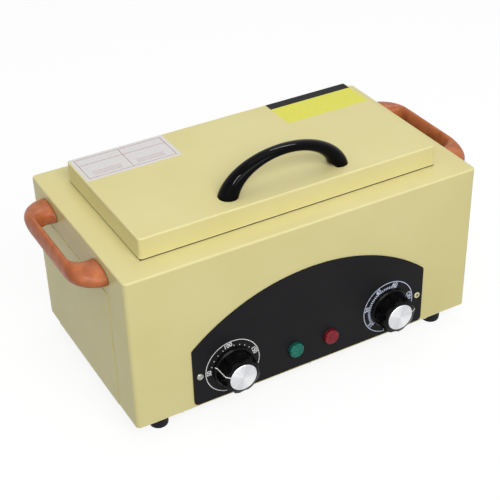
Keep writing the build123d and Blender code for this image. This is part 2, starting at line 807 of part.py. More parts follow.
# Wool round the tub
with BuildPart() as insulation:
    with BuildSketch(Plane.XY.offset(wool_bottom)):
        with Locations((lid_offset_x, lid_y)):
            Rectangle(wool_length, wool_width)
    extrude(amount=wool_top - wool_bottom)
    with BuildSketch(Plane.XY.offset(wool_cavity_floor)):
        with Locations((lid_offset_x, lid_y)):
            RectangleRounded(
                chamber_length + 2 * chamber_sheet + chamber_cutout_gap,
                chamber_width + 2 * chamber_sheet + chamber_cutout_gap,
                chamber_corner_radius + chamber_sheet,
            )
    extrude(amount=wool_top - wool_cavity_floor, mode=Mode.SUBTRACT)
    # Ways out for the heater ends and for the capillary
    with BuildSketch(Plane.YZ.offset(heater_right)):
        with Locations((run_ys[0], heater_z), (run_ys[3], heater_z)):
            Circle(heater_tube_radius + screw_hole_clearance)
    extrude(amount=wool_length, mode=Mode.SUBTRACT)
    with BuildSketch(Plane.XY.offset(wool_bottom)):
        with Locations((control_places[0][0], lid_y - clamp_width / 2 - bulb_radius)):
            Circle(capillary_radius + 2 * screw_hole_clearance)
    extrude(amount=wool_floor, mode=Mode.SUBTRACT)
save(insulation, "insulation")

# Galvanised shield that hangs from the case top and holds the wool
with BuildPart() as inner_shield:
    with BuildSketch(Plane.XY.offset(shield_bottom - shield_sheet)):
        with Locations((lid_offset_x, lid_y)):
            Rectangle(shield_length + 2 * shield_sheet, shield_width + 2 * shield_sheet)
    extrude(amount=wool_top - shield_bottom + shield_sheet)
    with BuildSketch(Plane.XY.offset(wool_top)):
        with Locations((lid_offset_x, lid_y)):
            Rectangle(shield_length + 2 * shield_flange, shield_width + 2 * shield_sheet)
    extrude(amount=-shield_sheet)
    with BuildSketch(Plane.XY.offset(shield_bottom)):
        with Locations((lid_offset_x, lid_y)):
            Rectangle(shield_length, shield_width)
    extrude(amount=wool_top - shield_bottom, mode=Mode.SUBTRACT)
    with BuildSketch(Plane.YZ.offset(lid_offset_x + shield_length / 2)):
        with Locations((run_ys[0], heater_z), (run_ys[3], heater_z)):
            Circle(heater_tube_radius + shaft_clearance)
    extrude(amount=shield_sheet, mode=Mode.SUBTRACT)
    with BuildSketch(Plane.XY.offset(shield_bottom)):
        with Locations((control_places[0][0], lid_y - clamp_width / 2 - bulb_radius)):
            Circle(capillary_radius + 2 * screw_hole_clearance)
    extrude(amount=-shield_sheet, mode=Mode.SUBTRACT)
save(inner_shield, "inner_shield")

# Over-temperature switch on the front of the shield
shield_front_y = lid_y - shield_width / 2 - shield_sheet
cutout_z = (shield_bottom + wool_top) / 2
with BuildPart() as thermal_cutout:
    with BuildSketch(Plane.XZ.offset(-shield_front_y)):
        with Locations((cutout_offset, cutout_z)):
            SlotOverall(cutout_plate_length, cutout_plate_width)
    extrude(amount=cutout_plate_thickness)
    with BuildSketch(Plane.XZ.offset(-shield_front_y + cutout_plate_thickness)):
        with Locations((cutout_offset, cutout_z)):
            Circle(cutout_radius)
    extrude(amount=cutout_height)
save(thermal_cutout, "thermal_cutout")

# Sensing bulb against the tub, with its capillary down to the temperature control
bulb_y = lid_y - clamp_width / 2 - bulb_radius
bulb_z = tub_under - bulb_radius
bulb_x = control_places[0][0]
capillary_start_y = inside_front_y + control_depth
capillary_z = knob_z
with BuildPart() as sensing_bulb:
    with BuildSketch(Plane(origin=(bulb_x, bulb_y, bulb_z), z_dir=(1, 0, 0))):
        Circle(bulb_radius)
    extrude(amount=bulb_length)
    with BuildLine() as capillary_path:
        FilletPolyline(
            (bulb_x, capillary_start_y, capillary_z),
            (bulb_x, bulb_y, capillary_z),
            (bulb_x, bulb_y, bulb_z),
            (bulb_x + 2 * bulb_radius, bulb_y, bulb_z),
            radius=capillary_bend_radius,
        )
    with BuildSketch(Plane(origin=(bulb_x, capillary_start_y, capillary_z), z_dir=(0, 1, 0))):
        Circle(capillary_radius)
    sweep(path=capillary_path.line)
save(sensing_bulb, "sensing_bulb")

# Terminal block on the bottom plate, with a slot over each way
terminal_y = rear_y - case_sheet - terminal_rear_gap
with BuildPart() as terminal_block:
    with BuildSketch(case_bottom_plane):
        with Locations((terminal_offset_x, terminal_y)):
            RectangleRounded(terminal_length, terminal_width, case_sheet)
    extrude(amount=terminal_height)
    with BuildSketch(Plane.XY.offset(case_bottom + terminal_height)):
        with Locations((terminal_offset_x, terminal_y)):
            with GridLocations(terminal_length / terminal_slots, 1, terminal_slots, 1):
                Rectangle(terminal_length / terminal_slots - 2 * case_sheet, terminal_width / 2)
    extrude(amount=-terminal_slot_depth, mode=Mode.SUBTRACT)
save(terminal_block, "terminal_block")

# Instrument tray: a shallow pan with rolled lip, perforated floor and four short legs
tray_bottom = tub_floor + tray_rest_gap + tray_leg_height
with BuildPart() as instrument_tray:
    with BuildSketch(Plane.XY.offset(tray_bottom)):
        with Locations((lid_offset_x, lid_y)):
            RectangleRounded(tray_length, tray_width, tray_corner_radius)
    extrude(amount=tray_height)
    fillet(instrument_tray.faces().sort_by(Axis.Z)[0].edges(), radius=tray_bottom_radius)
    offset(amount=-tray_sheet, openings=instrument_tray.faces().sort_by(Axis.Z)[-1])
    with BuildSketch(Plane.XY.offset(tray_bottom + tray_height)):
        with Locations((lid_offset_x, lid_y)):
            RectangleRounded(
                tray_length + 2 * tray_lip, tray_width + 2 * tray_lip, tray_corner_radius + tray_lip
            )
            RectangleRounded(
                tray_length - 2 * tray_sheet,
                tray_width - 2 * tray_sheet,
                tray_corner_radius - tray_sheet,
                mode=Mode.SUBTRACT,
            )
    extrude(amount=-tray_sheet)
    with BuildSketch(Plane.XY.offset(tray_bottom)):
        with Locations((lid_offset_x, lid_y)):
            with GridLocations(tray_hole_pitch_x, tray_hole_pitch_y, tray_hole_columns, tray_hole_rows):
                Circle(tray_hole_radius)
    extrude(amount=tray_sheet, mode=Mode.SUBTRACT)
    with BuildSketch(Plane.XY.offset(tray_bottom)):
        with Locations((lid_offset_x, lid_y)):
            with GridLocations(tray_length - 2 * tray_leg_inset, tray_width - 2 * tray_leg_inset, 2, 2):
                Circle(tray_leg_radius)
    extrude(amount=-tray_leg_height, taper=tray_leg_taper)
save(instrument_tray, "instrument_tray")

bail_x = tray_length / 2 - tray_sheet - bail_wire_radius
bail_width = tray_width - 2 * bail_inset
bail_top = tray_bottom + tray_height + bail_height
bail_foot = tray_bottom + tray_height - bail_drop
with BuildPart() as tray_handles:
    for end in (-1, 1):
        x = lid_offset_x + end * bail_x
        with BuildLine() as bail_path:
            FilletPolyline(
                (x, lid_y - bail_width / 2, bail_foot),
                (x, lid_y - bail_width / 2, bail_top),
                (x, lid_y + bail_width / 2, bail_top),
                (x, lid_y + bail_width / 2, bail_foot),
                radius=bail_bend_radius,
            )
        with BuildSketch(Plane(origin=(x, lid_y - bail_width / 2, bail_foot), z_dir=(0, 0, 1))):
            Circle(bail_wire_radius)
        sweep(path=bail_path.line)
save(tray_handles, "tray_handles")

# Lid shell: folded sheet, open below
lid_inner_length = lid_length - 2 * lid_sheet
lid_inner_width = lid_width - 2 * lid_sheet
handle_x = lid_offset_x + handle_offset_x
handle_screw_x = handle_span / 2 - handle_screw_lean
handle_feet = [(handle_x + end * handle_screw_x, handle_y) for end in (-1, 1)]
with BuildPart() as lid_shell:
    with BuildSketch(Plane.XY.offset(lid_bottom)):
        with Locations((lid_offset_x, lid_y)):
            RectangleRounded(lid_length, lid_width, lid_corner_radius)
    extrude(amount=lid_height)
    fillet(lid_shell.faces().sort_by(Axis.Z)[-1].edges(), radius=lid_edge_radius)
    with BuildSketch(Plane.XY.offset(lid_bottom)):
        with Locations((lid_offset_x, lid_y)):
            RectangleRounded(lid_inner_length, lid_inner_width, lid_corner_radius - lid_sheet)
    extrude(amount=lid_height - lid_sheet, mode=Mode.SUBTRACT)
    with BuildSketch(Plane.XY.offset(lid_top)):
        with Locations(*handle_feet):
            Circle(screw_m4_radius + screw_hole_clearance)
    extrude(amount=-lid_sheet, mode=Mode.SUBTRACT)
    with BuildSketch(Plane.XZ.offset(-lid_rear_y)):
        with Locations(*[(x, lid_rivet_z) for x in hinge_xs]):
            with GridLocations(hinge_rivet_spacing, 1, 2, 1):
                Circle(rivet_shank_radius)
    extrude(amount=lid_sheet, mode=Mode.SUBTRACT)
save(lid_shell, "lid_shell")

# Liner: a shallow pan spot-welded inside the lid walls, with the seal below it
liner_bottom = lid_bottom + seal_height
with BuildPart() as lid_liner:
    with BuildSketch(Plane.XY.offset(liner_bottom)):
        with Locations((lid_offset_x, lid_y)):
            RectangleRounded(lid_inner_length, lid_inner_width, lid_corner_radius - lid_sheet)
    extrude(amount=liner_rim)
    with BuildSketch(Plane.XY.offset(liner_bottom + liner_sheet)):
        with Locations((lid_offset_x, lid_y)):
            RectangleRounded(
                lid_inner_length - 2 * liner_sheet,
                lid_inner_width - 2 * liner_sheet,
                lid_corner_radius - lid_sheet - liner_sheet,
            )
    extrude(amount=liner_rim, mode=Mode.SUBTRACT)
save(lid_liner, "lid_liner")

seal_inset = (chamber_flange - seal_width) / 2
with BuildPart() as lid_seal:
    with BuildSketch(Plane.XY.offset(liner_bottom)):
        with Locations((lid_offset_x, lid_y)):
            RectangleRounded(
                chamber_length + 2 * (chamber_flange - seal_inset),
                chamber_width + 2 * (chamber_flange - seal_inset),
                chamber_corner_radius + chamber_flange - seal_inset,
            )
            RectangleRounded(
                chamber_length + 2 * seal_inset,
                chamber_width + 2 * seal_inset,
                chamber_corner_radius + seal_inset,
                mode=Mode.SUBTRACT,
            )
    extrude(amount=-(liner_bottom - flange_top - seal_clearance))
save(lid_seal, "lid_seal")

with BuildPart() as lid_insulation:
    with BuildSketch(Plane.XY.offset(liner_bottom + liner_sheet)):
        with Locations((lid_offset_x, lid_y)):
            Rectangle(lid_inner_length - 2 * wool_clearance, lid_inner_width - 2 * wool_clearance)
    extrude(amount=lid_height - lid_sheet - seal_height - liner_sheet)
    with BuildSketch(Plane.XY.offset(lid_top - lid_sheet)):
        with Locations(*handle_feet):
            Circle(screw_m4_head + screw_m4_radius)
    extrude(amount=-2 * screw_head_height, mode=Mode.SUBTRACT)
save(lid_insulation, "lid_insulation")

# Lid handle: a loft of ovals along a half ellipse, wide at the feet and thin at the top. The ellipse
# has its centre under the lid, so the feet lean in, and what lies under the lid is cut off.
arch_height = handle_rise + handle_sink
arch_reach = handle_span / 2 / sqrt(1 - (handle_sink / arch_height) ** 2)
with BuildPart() as lid_handle:
    for station in range(handle_stations):
        turn = pi * station / (handle_stations - 1)
        rise = sin(turn) * arch_height - handle_sink
        slim = max(0, rise / handle_rise)
        width = handle_foot_width + (handle_top_width - handle_foot_width) * slim
        thickness = handle_foot_thickness + (handle_top_thickness - handle_foot_thickness) * slim
        centre = (handle_x - cos(turn) * arch_reach, handle_y, lid_top + rise)
        along = (sin(turn) * arch_reach, 0, cos(turn) * arch_height)
        with BuildSketch(Plane(origin=centre, x_dir=(0, 1, 0), z_dir=along)):
            Ellipse(width / 2, thickness / 2)
    loft()
    split(bisect_by=Plane.XY.offset(lid_top), keep=Keep.TOP)
    # Notch at the inner side of the right foot
    with BuildSketch(Plane.XY.offset(lid_top)):
        with Locations((handle_x + (handle_span - handle_foot_thickness) / 2, handle_y)):
            Rectangle(2 * handle_notch_width, handle_foot_width)
    extrude(amount=handle_notch_height, mode=Mode.SUBTRACT)
    with BuildSketch(Plane.XY.offset(lid_top)):
        with Locations(*handle_feet):
            Circle(screw_m4_radius + shaft_clearance / 2)
    extrude(amount=handle_screw_length, mode=Mode.SUBTRACT)
save(lid_handle, "lid_handle")

with BuildPart() as lid_handle_screws:
    with BuildSketch(Plane.XY.offset(lid_top - lid_sheet)):
        with Locations(*handle_feet):
            Circle(screw_m4_head)
    extrude(amount=-screw_head_height)
    with BuildSketch(Plane.XY.offset(lid_top - lid_sheet)):
        with Locations(*handle_feet):
            Circle(screw_m4_radius)
    extrude(amount=lid_sheet + handle_screw_length - screw_m4_radius / 2)
save(lid_handle_screws, "lid_handle_screws")


# Carrying handles: each end is lofted round its bend, and a straight oval bar joins the two
def carry_handle(side, name):
    middle_y = case_y + grip_offset_y
    middle_z = case_bottom + grip_level
    bend_centre_x = case_width / 2 + grip_reach - grip_thickness / 2 - grip_bend_radius
    bend_centre_y = grip_span / 2 - grip_bend_radius
    with BuildPart() as handle:
        for step in range(grip_bend_steps + 1):
            share = step / grip_bend_steps
            ease = share**2 * (3 - 2 * share)
            bend = pi / 2 * share
            length = grip_foot_length + (grip_thickness - grip_foot_length) * ease
            height = grip_foot_height + (grip_height - grip_foot_height) * ease
            out = max(case_width / 2, bend_centre_x + grip_bend_radius * sin(bend))
            along = bend_centre_y + grip_bend_radius * cos(bend)
            centre = (side * out, middle_y + along, middle_z)
            across = (side * sin(bend), cos(bend), 0)
            heading = (side * cos(bend), -sin(bend), 0)
            with BuildSketch(Plane(origin=centre, x_dir=across, z_dir=heading)):
                Ellipse(length / 2, height / 2)
        loft()
        with BuildSketch(Plane(origin=centre, x_dir=across, z_dir=heading)):
            Ellipse(grip_thickness / 2, grip_height / 2)
        extrude(amount=bend_centre_y)
        mirror(about=Plane.XZ.offset(-middle_y))
        with BuildSketch(Plane.YZ.offset(side * case_width / 2)):
            with Locations(*grip_places):
                Circle(screw_m5_radius + shaft_clearance / 2)
        extrude(amount=side * handle_screw_length, mode=Mode.SUBTRACT)
    save(handle, name)


carry_handle(-1, "carry_handle_left")
carry_handle(1, "carry_handle_right")

with BuildPart() as carry_handle_screws:
    for side in (-1, 1):
        inside_wall = Plane.YZ.offset(side * (case_width / 2 - case_sheet))
        with BuildSketch(inside_wall):
            with Locations(*grip_places):
                Circle(screw_m5_head)
        extrude(amount=-side * screw_head_height)
        with BuildSketch(inside_wall):
            with Locations(*grip_places):
                Circle(screw_m5_radius)
        extrude(amount=side * (case_sheet + handle_screw_length - screw_m5_radius / 2))
save(carry_handle_screws, "carry_handle_screws")

# Hinges: leaf and outer knuckles on the case, leaf and middle knuckle on the lid
leaf_end = hinge_leaf_width / 2
middle_end = leaf_end - hinge_knuckle_length - hinge_knuckle_gap
leaf_notch = hinge_knuckle_radius + hinge_knuckle_gap
with BuildPart() as hinge_case_leaves:
    for x in hinge_xs:
        for end in (-1, 1):
            knuckle_start = x + end * leaf_end
            with BuildSketch(Plane.YZ.offset(knuckle_start)):
                with Locations((hinge_axis_y, hinge_axis_z)):
                    Circle(hinge_knuckle_radius)
                with BuildLine():
                    Polyline(
                        (hinge_axis_y, case_top),
                        (hinge_axis_y + hinge_leaf_reach, case_top),
                        (hinge_axis_y + hinge_leaf_reach, case_top + hinge_leaf_thickness),
                        (hinge_axis_y, case_top + hinge_leaf_thickness),
                        close=True,
                    )
                make_face()
                with Locations((hinge_axis_y, hinge_axis_z)):
                    Circle(hinge_pin_radius, mode=Mode.SUBTRACT)
            extrude(amount=-end * hinge_knuckle_length)
        with BuildSketch(case_top_plane):
            with Locations((x, hinge_axis_y + (hinge_leaf_reach + leaf_notch) / 2)):
                Rectangle(hinge_leaf_width, hinge_leaf_reach - leaf_notch)
        extrude(amount=hinge_leaf_thickness)
    with BuildSketch(Plane.XY.offset(case_top + hinge_leaf_thickness)):
        with Locations(*[(x, case_rivet_y) for x in hinge_xs]):
            with GridLocations(hinge_rivet_spacing, 1, 2, 1):
                Circle(rivet_flush_radius)
    extrude(amount=-hinge_leaf_thickness, taper=hinge_countersink_taper, mode=Mode.SUBTRACT)
save(hinge_case_leaves, "hinge_case_leaves")

with BuildPart() as hinge_lid_leaves:
    for x in hinge_xs:
        with BuildSketch(Plane.YZ.offset(x - middle_end)):
            with Locations((hinge_axis_y, hinge_axis_z)):
                Circle(hinge_knuckle_radius)
            with BuildLine():
                Polyline(
                    (lid_rear_y, hinge_axis_z),
                    (lid_rear_y + hinge_leaf_thickness, hinge_axis_z),
                    (lid_rear_y + hinge_leaf_thickness, lid_bottom + hinge_lid_leaf_height),
                    (lid_rear_y, lid_bottom + hinge_lid_leaf_height),
                    close=True,
                )
            make_face()
            with Locations((hinge_axis_y, hinge_axis_z)):
                Circle(hinge_pin_radius + hinge_running_clearance, mode=Mode.SUBTRACT)
        extrude(amount=2 * middle_end)
        leaf_bottom = hinge_axis_z + hinge_knuckle_radius + hinge_knuckle_gap
        leaf_top = lid_bottom + hinge_lid_leaf_height
        with BuildSketch(Plane.XZ.offset(-lid_rear_y)):
            with Locations((x, (leaf_bottom + leaf_top) / 2)):
                Rectangle(hinge_leaf_width, leaf_top - leaf_bottom)
        extrude(amount=-hinge_leaf_thickness)
    with BuildSketch(Plane.XZ.offset(-lid_rear_y)):
        with Locations(*[(x, lid_rivet_z) for x in hinge_xs]):
            with GridLocations(hinge_rivet_spacing, 1, 2, 1):
                Circle(rivet_shank_radius)
    extrude(amount=-hinge_leaf_thickness, mode=Mode.SUBTRACT)
save(hinge_lid_leaves, "hinge_lid_leaves")

with BuildPart() as hinge_pins:
    for x in hinge_xs:
        with BuildSketch(Plane.YZ.offset(x - leaf_end)):
            with Locations((hinge_axis_y, hinge_axis_z)):
                Circle(hinge_pin_radius)
        extrude(amount=hinge_leaf_width)
save(hinge_pins, "hinge_pins")

# Rivets: flush in the case leaves, round-headed on the lid leaves
with BuildPart() as hinge_case_rivets:
    with BuildSketch(Plane.XY.offset(case_top + hinge_leaf_thickness)):
        with Locations(*[(x, case_rivet_y) for x in hinge_xs]):
            with GridLocations(hinge_rivet_spacing, 1, 2, 1):
                Circle(rivet_flush_radius)
    extrude(amount=-hinge_leaf_thickness, taper=hinge_countersink_taper)
    with BuildSketch(case_top_plane):
        with Locations(*[(x, case_rivet_y) for x in hinge_xs]):
            with GridLocations(hinge_rivet_spacing, 1, 2, 1):
                Circle(rivet_shank_radius)
    extrude(amount=-case_sheet)
save(hinge_case_rivets, "hinge_case_rivets")

with BuildPart() as hinge_lid_rivets:
    with BuildSketch(Plane.XZ.offset(-(lid_rear_y + hinge_leaf_thickness))):
        with Locations(*[(x, lid_rivet_z) for x in hinge_xs]):
            with GridLocations(hinge_rivet_spacing, 1, 2, 1):
                Circle(rivet_flush_radius)
    extrude(amount=-rivet_tail_height)
    with BuildSketch(Plane.XZ.offset(-(lid_rear_y + hinge_leaf_thickness))):
        with Locations(*[(x, lid_rivet_z) for x in hinge_xs]):
            with GridLocations(hinge_rivet_spacing, 1, 2, 1):
                Circle(rivet_shank_radius)
    extrude(amount=hinge_leaf_thickness + lid_sheet)
    with BuildSketch(Plane.XZ.offset(-(lid_rear_y - lid_sheet))):
        with Locations(*[(x, lid_rivet_z) for x in hinge_xs]):
            with GridLocations(hinge_rivet_spacing, 1, 2, 1):
                Circle(rivet_flush_radius)
    extrude(amount=rivet_tail_length)
save(hinge_lid_rivets, "hinge_lid_rivets")

# Cord bushing: a turned nylon sleeve through the rear wall
with BuildPart() as cord_bushing:
    with BuildSketch(Plane(origin=(bushing_offset_x, rear_y, bushing_z), x_dir=(1, 0, 0), z_dir=(0, 0, 1))):
        with BuildLine():
            Polyline(
                (bushing_bore_radius, bushing_reach),
                (bushing_body_radius - bushing_flange / 2, bushing_reach),
                (bushing_body_radius, bushing_flange),
                (bushing_flange_radius, bushing_flange),
                (bushing_flange_radius, 0),
                (bushing_body_radius, 0),
                (bushing_body_radius, -bushing_tail),
                (bushing_bore_radius, -bushing_tail),
                close=True,
            )
        make_face()
    revolve(axis=Axis((bushing_offset_x, rear_y, bushing_z), (0, 1, 0)))
save(cord_bushing, "cord_bushing")
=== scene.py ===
import math
import bmesh
import bpy
from mathutils import Matrix, Vector


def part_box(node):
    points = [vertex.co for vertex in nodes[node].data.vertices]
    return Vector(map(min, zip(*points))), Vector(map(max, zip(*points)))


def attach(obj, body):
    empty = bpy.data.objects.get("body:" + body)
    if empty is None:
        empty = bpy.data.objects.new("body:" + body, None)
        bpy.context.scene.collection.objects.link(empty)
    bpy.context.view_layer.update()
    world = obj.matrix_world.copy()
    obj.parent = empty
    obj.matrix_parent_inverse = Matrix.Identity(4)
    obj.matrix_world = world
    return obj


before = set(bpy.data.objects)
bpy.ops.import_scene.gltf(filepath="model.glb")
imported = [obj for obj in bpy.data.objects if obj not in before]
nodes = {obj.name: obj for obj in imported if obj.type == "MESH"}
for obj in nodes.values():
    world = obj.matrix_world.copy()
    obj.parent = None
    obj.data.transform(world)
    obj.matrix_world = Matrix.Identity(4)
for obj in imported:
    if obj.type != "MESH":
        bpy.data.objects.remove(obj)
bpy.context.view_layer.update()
mm = 0.001
print("frame loaded:", len(nodes), "nodes")


def hexToLinear(code):  # "#RRGGBB" in sRGB to a linear colour
    values = [int(code[i:i + 2], 16) / 255 for i in (1, 3, 5)]
    return tuple(v / 12.92 if v <= 0.04045 else ((v + 0.055) / 1.055) ** 2.4 for v in values) + (1.0,)


def addNode(tree, kind, links=None, values=None, **settings):  # one node with its settings and links
    node = tree.nodes.new(kind)
    for name, value in settings.items():
        setattr(node, name, value)
    for socket, value in (values or {}).items():
        node.inputs[socket].default_value = value
    for socket, source in (links or {}).items():
        tree.links.new(source, node.inputs[socket])
    return node


def calc(tree, operation, first, second=None):  # a Math node on sockets or numbers
    links, values = {}, {}
    for socket, value in ((0, first), (1, second)):
        if value is not None:
            (values if isinstance(value, (int, float)) else links)[socket] = value
    return addNode(tree, "ShaderNodeMath", links, values, operation=operation).outputs[0]


def startMaterial(name, look):  # a Principled shader with the constants of the look
    material = bpy.data.materials.new(name)
    material.use_nodes = True
    tree = material.node_tree
    shader = tree.nodes["Principled BSDF"]
    shader.inputs["Base Color"].default_value = hexToLinear(look["colour"])
    shader.inputs["Roughness"].default_value = look["rough"]
    for socket, value in look.get("shader", {}).items():
        shader.inputs[socket].default_value = value
    place = addNode(tree, "ShaderNodeTexCoord").outputs["Object"]
    return material, tree, shader, place


def patches(tree, place, size, detail=3.0, stretch=(1, 1, 1)):  # noise with patches of a size in millimetres
    mapped = addNode(tree, "ShaderNodeMapping", {"Vector": place}, {"Scale": stretch})
    return addNode(
        tree, "ShaderNodeTexNoise", {"Vector": mapped.outputs["Vector"]},
        {"Scale": 1 / (size * mm), "Detail": detail, "Roughness": 0.55},
    ).outputs["Fac"]


def spread(tree, value, low, high, start=0.3, stop=0.7):  # a value from start..stop mapped to low..high
    return addNode(
        tree, "ShaderNodeMapRange", {"Value": value},
        {"From Min": start, "From Max": stop, "To Min": low, "To Max": high},
    ).outputs["Result"]


def blendColour(tree, factor, first, second):  # first and second are hex codes or colour sockets
    links, values = {0: factor}, {}
    for socket, colour in ((6, first), (7, second)):
        if isinstance(colour, str):
            values[socket] = hexToLinear(colour)
        else:
            links[socket] = colour
    return addNode(tree, "ShaderNodeMix", links, values, data_type="RGBA").outputs[2]


def addBump(tree, shader, layers):  # layers are (height socket, depth in millimetres), stacked in order
    normal = None
    for height, depth in layers:
        links = {"Height": height}
        if normal:
            links["Normal"] = normal
        normal = addNode(
            tree, "ShaderNodeBump", links, {"Strength": 1.0, "Distance": depth * mm}
        ).outputs["Normal"]
    tree.links.new(normal, shader.inputs["Normal"])


def finishMaterial(name, look):  # the common recipe: mottled colour, uneven gloss, grain in the surface
    material, tree, shader, place = startMaterial(name, look)
    stretch = look.get("stretch", (1, 1, 1))
    mottle = patches(tree, place, look["patch"], stretch=stretch)
    colour = blendColour(tree, spread(tree, mottle, 0, 1), look["colour"], look["second"])
    if "speck" in look:
        speck = spread(tree, patches(tree, place, look["speckSize"], 1.0), 0, look["speckShare"], 0.6, 0.75)
        colour = blendColour(tree, speck, colour, look["speck"])
    tree.links.new(colour, shader.inputs["Base Color"])
    gloss = patches(tree, place, look["patch"] * 0.4, stretch=stretch)
    low, high = look["rough"] - look["uneven"], look["rough"] + look["uneven"]
    tree.links.new(spread(tree, gloss, low, high), shader.inputs["Roughness"])
    grain = patches(tree, place, look["grain"], 2.0, stretch)
    layers = [(grain, look["grainDepth"])]
    if "ripple" in look:
        layers.insert(0, (patches(tree, place, look["ripple"], 1.0), look["rippleDepth"]))
    addBump(tree, shader, layers)
    return material


def dress(material, *names):
    for name in names:
        for slot in nodes[name].material_slots:
            slot.material = material


# Stoved cream enamel on folded mild steel: a soft gloss with the faint peel of spray paint,
# and along the folds a lighter colour that is partly worn paint and partly a painted highlight
enamel = {
    "colour": "#DFD69B", "second": "#DAD092", "edge": "#E8E0B0", "rough": 0.34, "uneven": 0.05,
    "patch": 90, "peel": 2.4, "peelDepth": 0.010, "wave": 45, "waveDepth": 0.10, "foldWidth": 1.6,
    # shadeLine: the colour of a painted shadow line on the case top, under the lid's edge
    "rubbedHighlightSize": 9, "shadeLine": "#5A5036", "shadeLineFrom": 0.1, "shadeLineCore": 1.0, "shadeLineWidth": 1.8,
    "shader": {"IOR": 1.5, "Specular IOR Level": 0.14},
}


def offCentre(tree, along, low, high):  # distance from the middle of two planes, and half their gap
    return calc(tree, "ABSOLUTE", calc(tree, "SUBTRACT", along, (low + high) / 2)), (high - low) / 2


def paintedShadeLine(tree, axes, cover, top):  # painted shade: a dark line on the case top, just inside the lid's edge, where the gap under the lid is in shadow
    inside = []
    for axis in range(2):
        reach, half = offCentre(tree, axes[axis], cover[0][axis], cover[1][axis])
        inside.append(calc(tree, "SUBTRACT", half, reach))
    inset = calc(tree, "MINIMUM", inside[0], inside[1])
    starts = spread(tree, inset, 0, 1, enamel["shadeLineFrom"] * mm, (enamel["shadeLineFrom"] + 0.3) * mm)
    fades = spread(tree, inset, 1, 0, enamel["shadeLineCore"] * mm, enamel["shadeLineWidth"] * mm)
    upper = spread(tree, axes[2], 0, 1, top - 0.3 * mm, top - 0.1 * mm)
    return calc(tree, "MULTIPLY", calc(tree, "MULTIPLY", starts, fades), upper)


def enamelMaterial(name, box, cover=None):
    material, tree, shader, place = startMaterial(name, enamel)
    colour = blendColour(
        tree, spread(tree, patches(tree, place, enamel["patch"]), 0, 1), enamel["colour"], enamel["second"]
    )
    axes = addNode(tree, "ShaderNodeSeparateXYZ", {"Vector": place}).outputs
    low, high = box
    near = []  # how near the point is to the outer planes, along each axis
    for axis in range(3):
        reach, half = offCentre(tree, axes[axis], low[axis], high[axis])
        near.append(spread(tree, reach, 0, 1, half - enamel["foldWidth"] * mm, half))
    foldHighlight = 0.0
    for a, b in ((0, 1), (1, 2), (0, 2)):
        foldHighlight = calc(tree, "MAXIMUM", calc(tree, "MULTIPLY", near[a], near[b]), foldHighlight)
    # a lighter colour along the folds: a painted highlight on the edges, broken up by patches of wear
    rubbedHighlight = spread(tree, patches(tree, place, enamel["rubbedHighlightSize"], 2.0), 0.3, 1.0)
    colour = blendColour(tree, calc(tree, "MULTIPLY", foldHighlight, rubbedHighlight), colour, enamel["edge"])
    # painted shade under the lid's edge: a dark line on the case top
    if cover:
        colour = blendColour(tree, paintedShadeLine(tree, axes, cover, high[2]), colour, enamel["shadeLine"])
    tree.links.new(colour, shader.inputs["Base Color"])
    gloss = patches(tree, place, enamel["patch"] * 0.3)
    tree.links.new(
        spread(tree, gloss, enamel["rough"] - enamel["uneven"], enamel["rough"] + enamel["uneven"]),
        shader.inputs["Roughness"],
    )
    addBump(tree, shader, [
        (patches(tree, place, enamel["wave"], 1.0), enamel["waveDepth"]),
        (patches(tree, place, enamel["peel"], 1.0), enamel["peelDepth"]),
    ])
    return material


caseEnamel = enamelMaterial("stovedEnamelCase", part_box("case_shell"), cover=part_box("lid_shell"))
dress(caseEnamel, "case_shell", "bottom_plate")
dress(enamelMaterial("stovedEnamelLid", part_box("lid_shell")), "lid_shell")
print("enamel done")

# Screen-printed sheet: satin black ink, flat and fine grained
blackInk = {
    "colour": "#19191B", "second": "#1D1D1F", "rough": 0.50, "uneven": 0.05, "patch": 60,
    "grain": 0.6, "grainDepth": 0.006, "speck": "#262628", "speckSize": 0.8, "speckShare": 0.35,
    "shader": {"IOR": 1.5, "Specular IOR Level": 0.08},
}
dress(finishMaterial("screenPrintedBlack", blackInk), "front_panel")

# Compression-moulded phenolic: deep black with a polished skin that flows a little
glossPhenolic = {
    "colour": "#060607", "second": "#08080A", "rough": 0.06, "uneven": 0.015, "patch": 25,
    "grain": 0.9, "grainDepth": 0.003, "ripple": 14, "rippleDepth": 0.05,
    "shader": {"IOR": 1.5, "Specular IOR Level": 0.05},
}
dress(finishMaterial("polishedPhenolic", glossPhenolic), "lid_handle")

# Moulded ABS of the knobs: semi-gloss black
knobPlastic = {
    "colour": "#0A0A0B", "second": "#0D0D0E", "rough": 0.22, "uneven": 0.05, "patch": 12,
    "grain": 0.5, "grainDepth": 0.004, "shader": {"IOR": 1.53, "Specular IOR Level": 0.09},
}
dress(finishMaterial("mouldedAbs", knobPlastic), "temperature_knob", "timer_knob")

# Thermoset carrying handles: terracotta brown, satin, with cloudy flow marks and fine dark specks
terracotta = {
    "colour": "#C27245", "second": "#A65B35", "rough": 0.40, "uneven": 0.08, "patch": 10,
    "grain": 0.8, "grainDepth": 0.035, "ripple": 9, "rippleDepth": 0.06,
    "speck": "#84452A", "speckSize": 1.0, "speckShare": 0.7,
    "shader": {"IOR": 1.5, "Specular IOR Level": 0.18},
}
dress(finishMaterial("mouldedTerracotta", terracotta), "carry_handle_left", "carry_handle_right")

# Feet: matt black rubber with a faint lighter bloom in random patches
footRubber = {
    "colour": "#151516", "second": "#1D1D1E", "rough": 0.62, "uneven": 0.08, "patch": 6,
    "grain": 0.5, "grainDepth": 0.02, "shader": {"IOR": 1.52, "Specular IOR Level": 0.15},
}
dress(finishMaterial("mouldedRubber", footRubber), "rubber_feet")

# Cured silicone seal: brick red, powdery
silicone = {
    "colour": "#9A4A35", "second": "#8C402D", "rough": 0.66, "uneven": 0.06, "patch": 14,
    "grain": 0.6, "grainDepth": 0.02, "shader": {"IOR": 1.42},
}
dress(finishMaterial("curedSilicone", silicone), "lid_seal")
print("mouldings done")

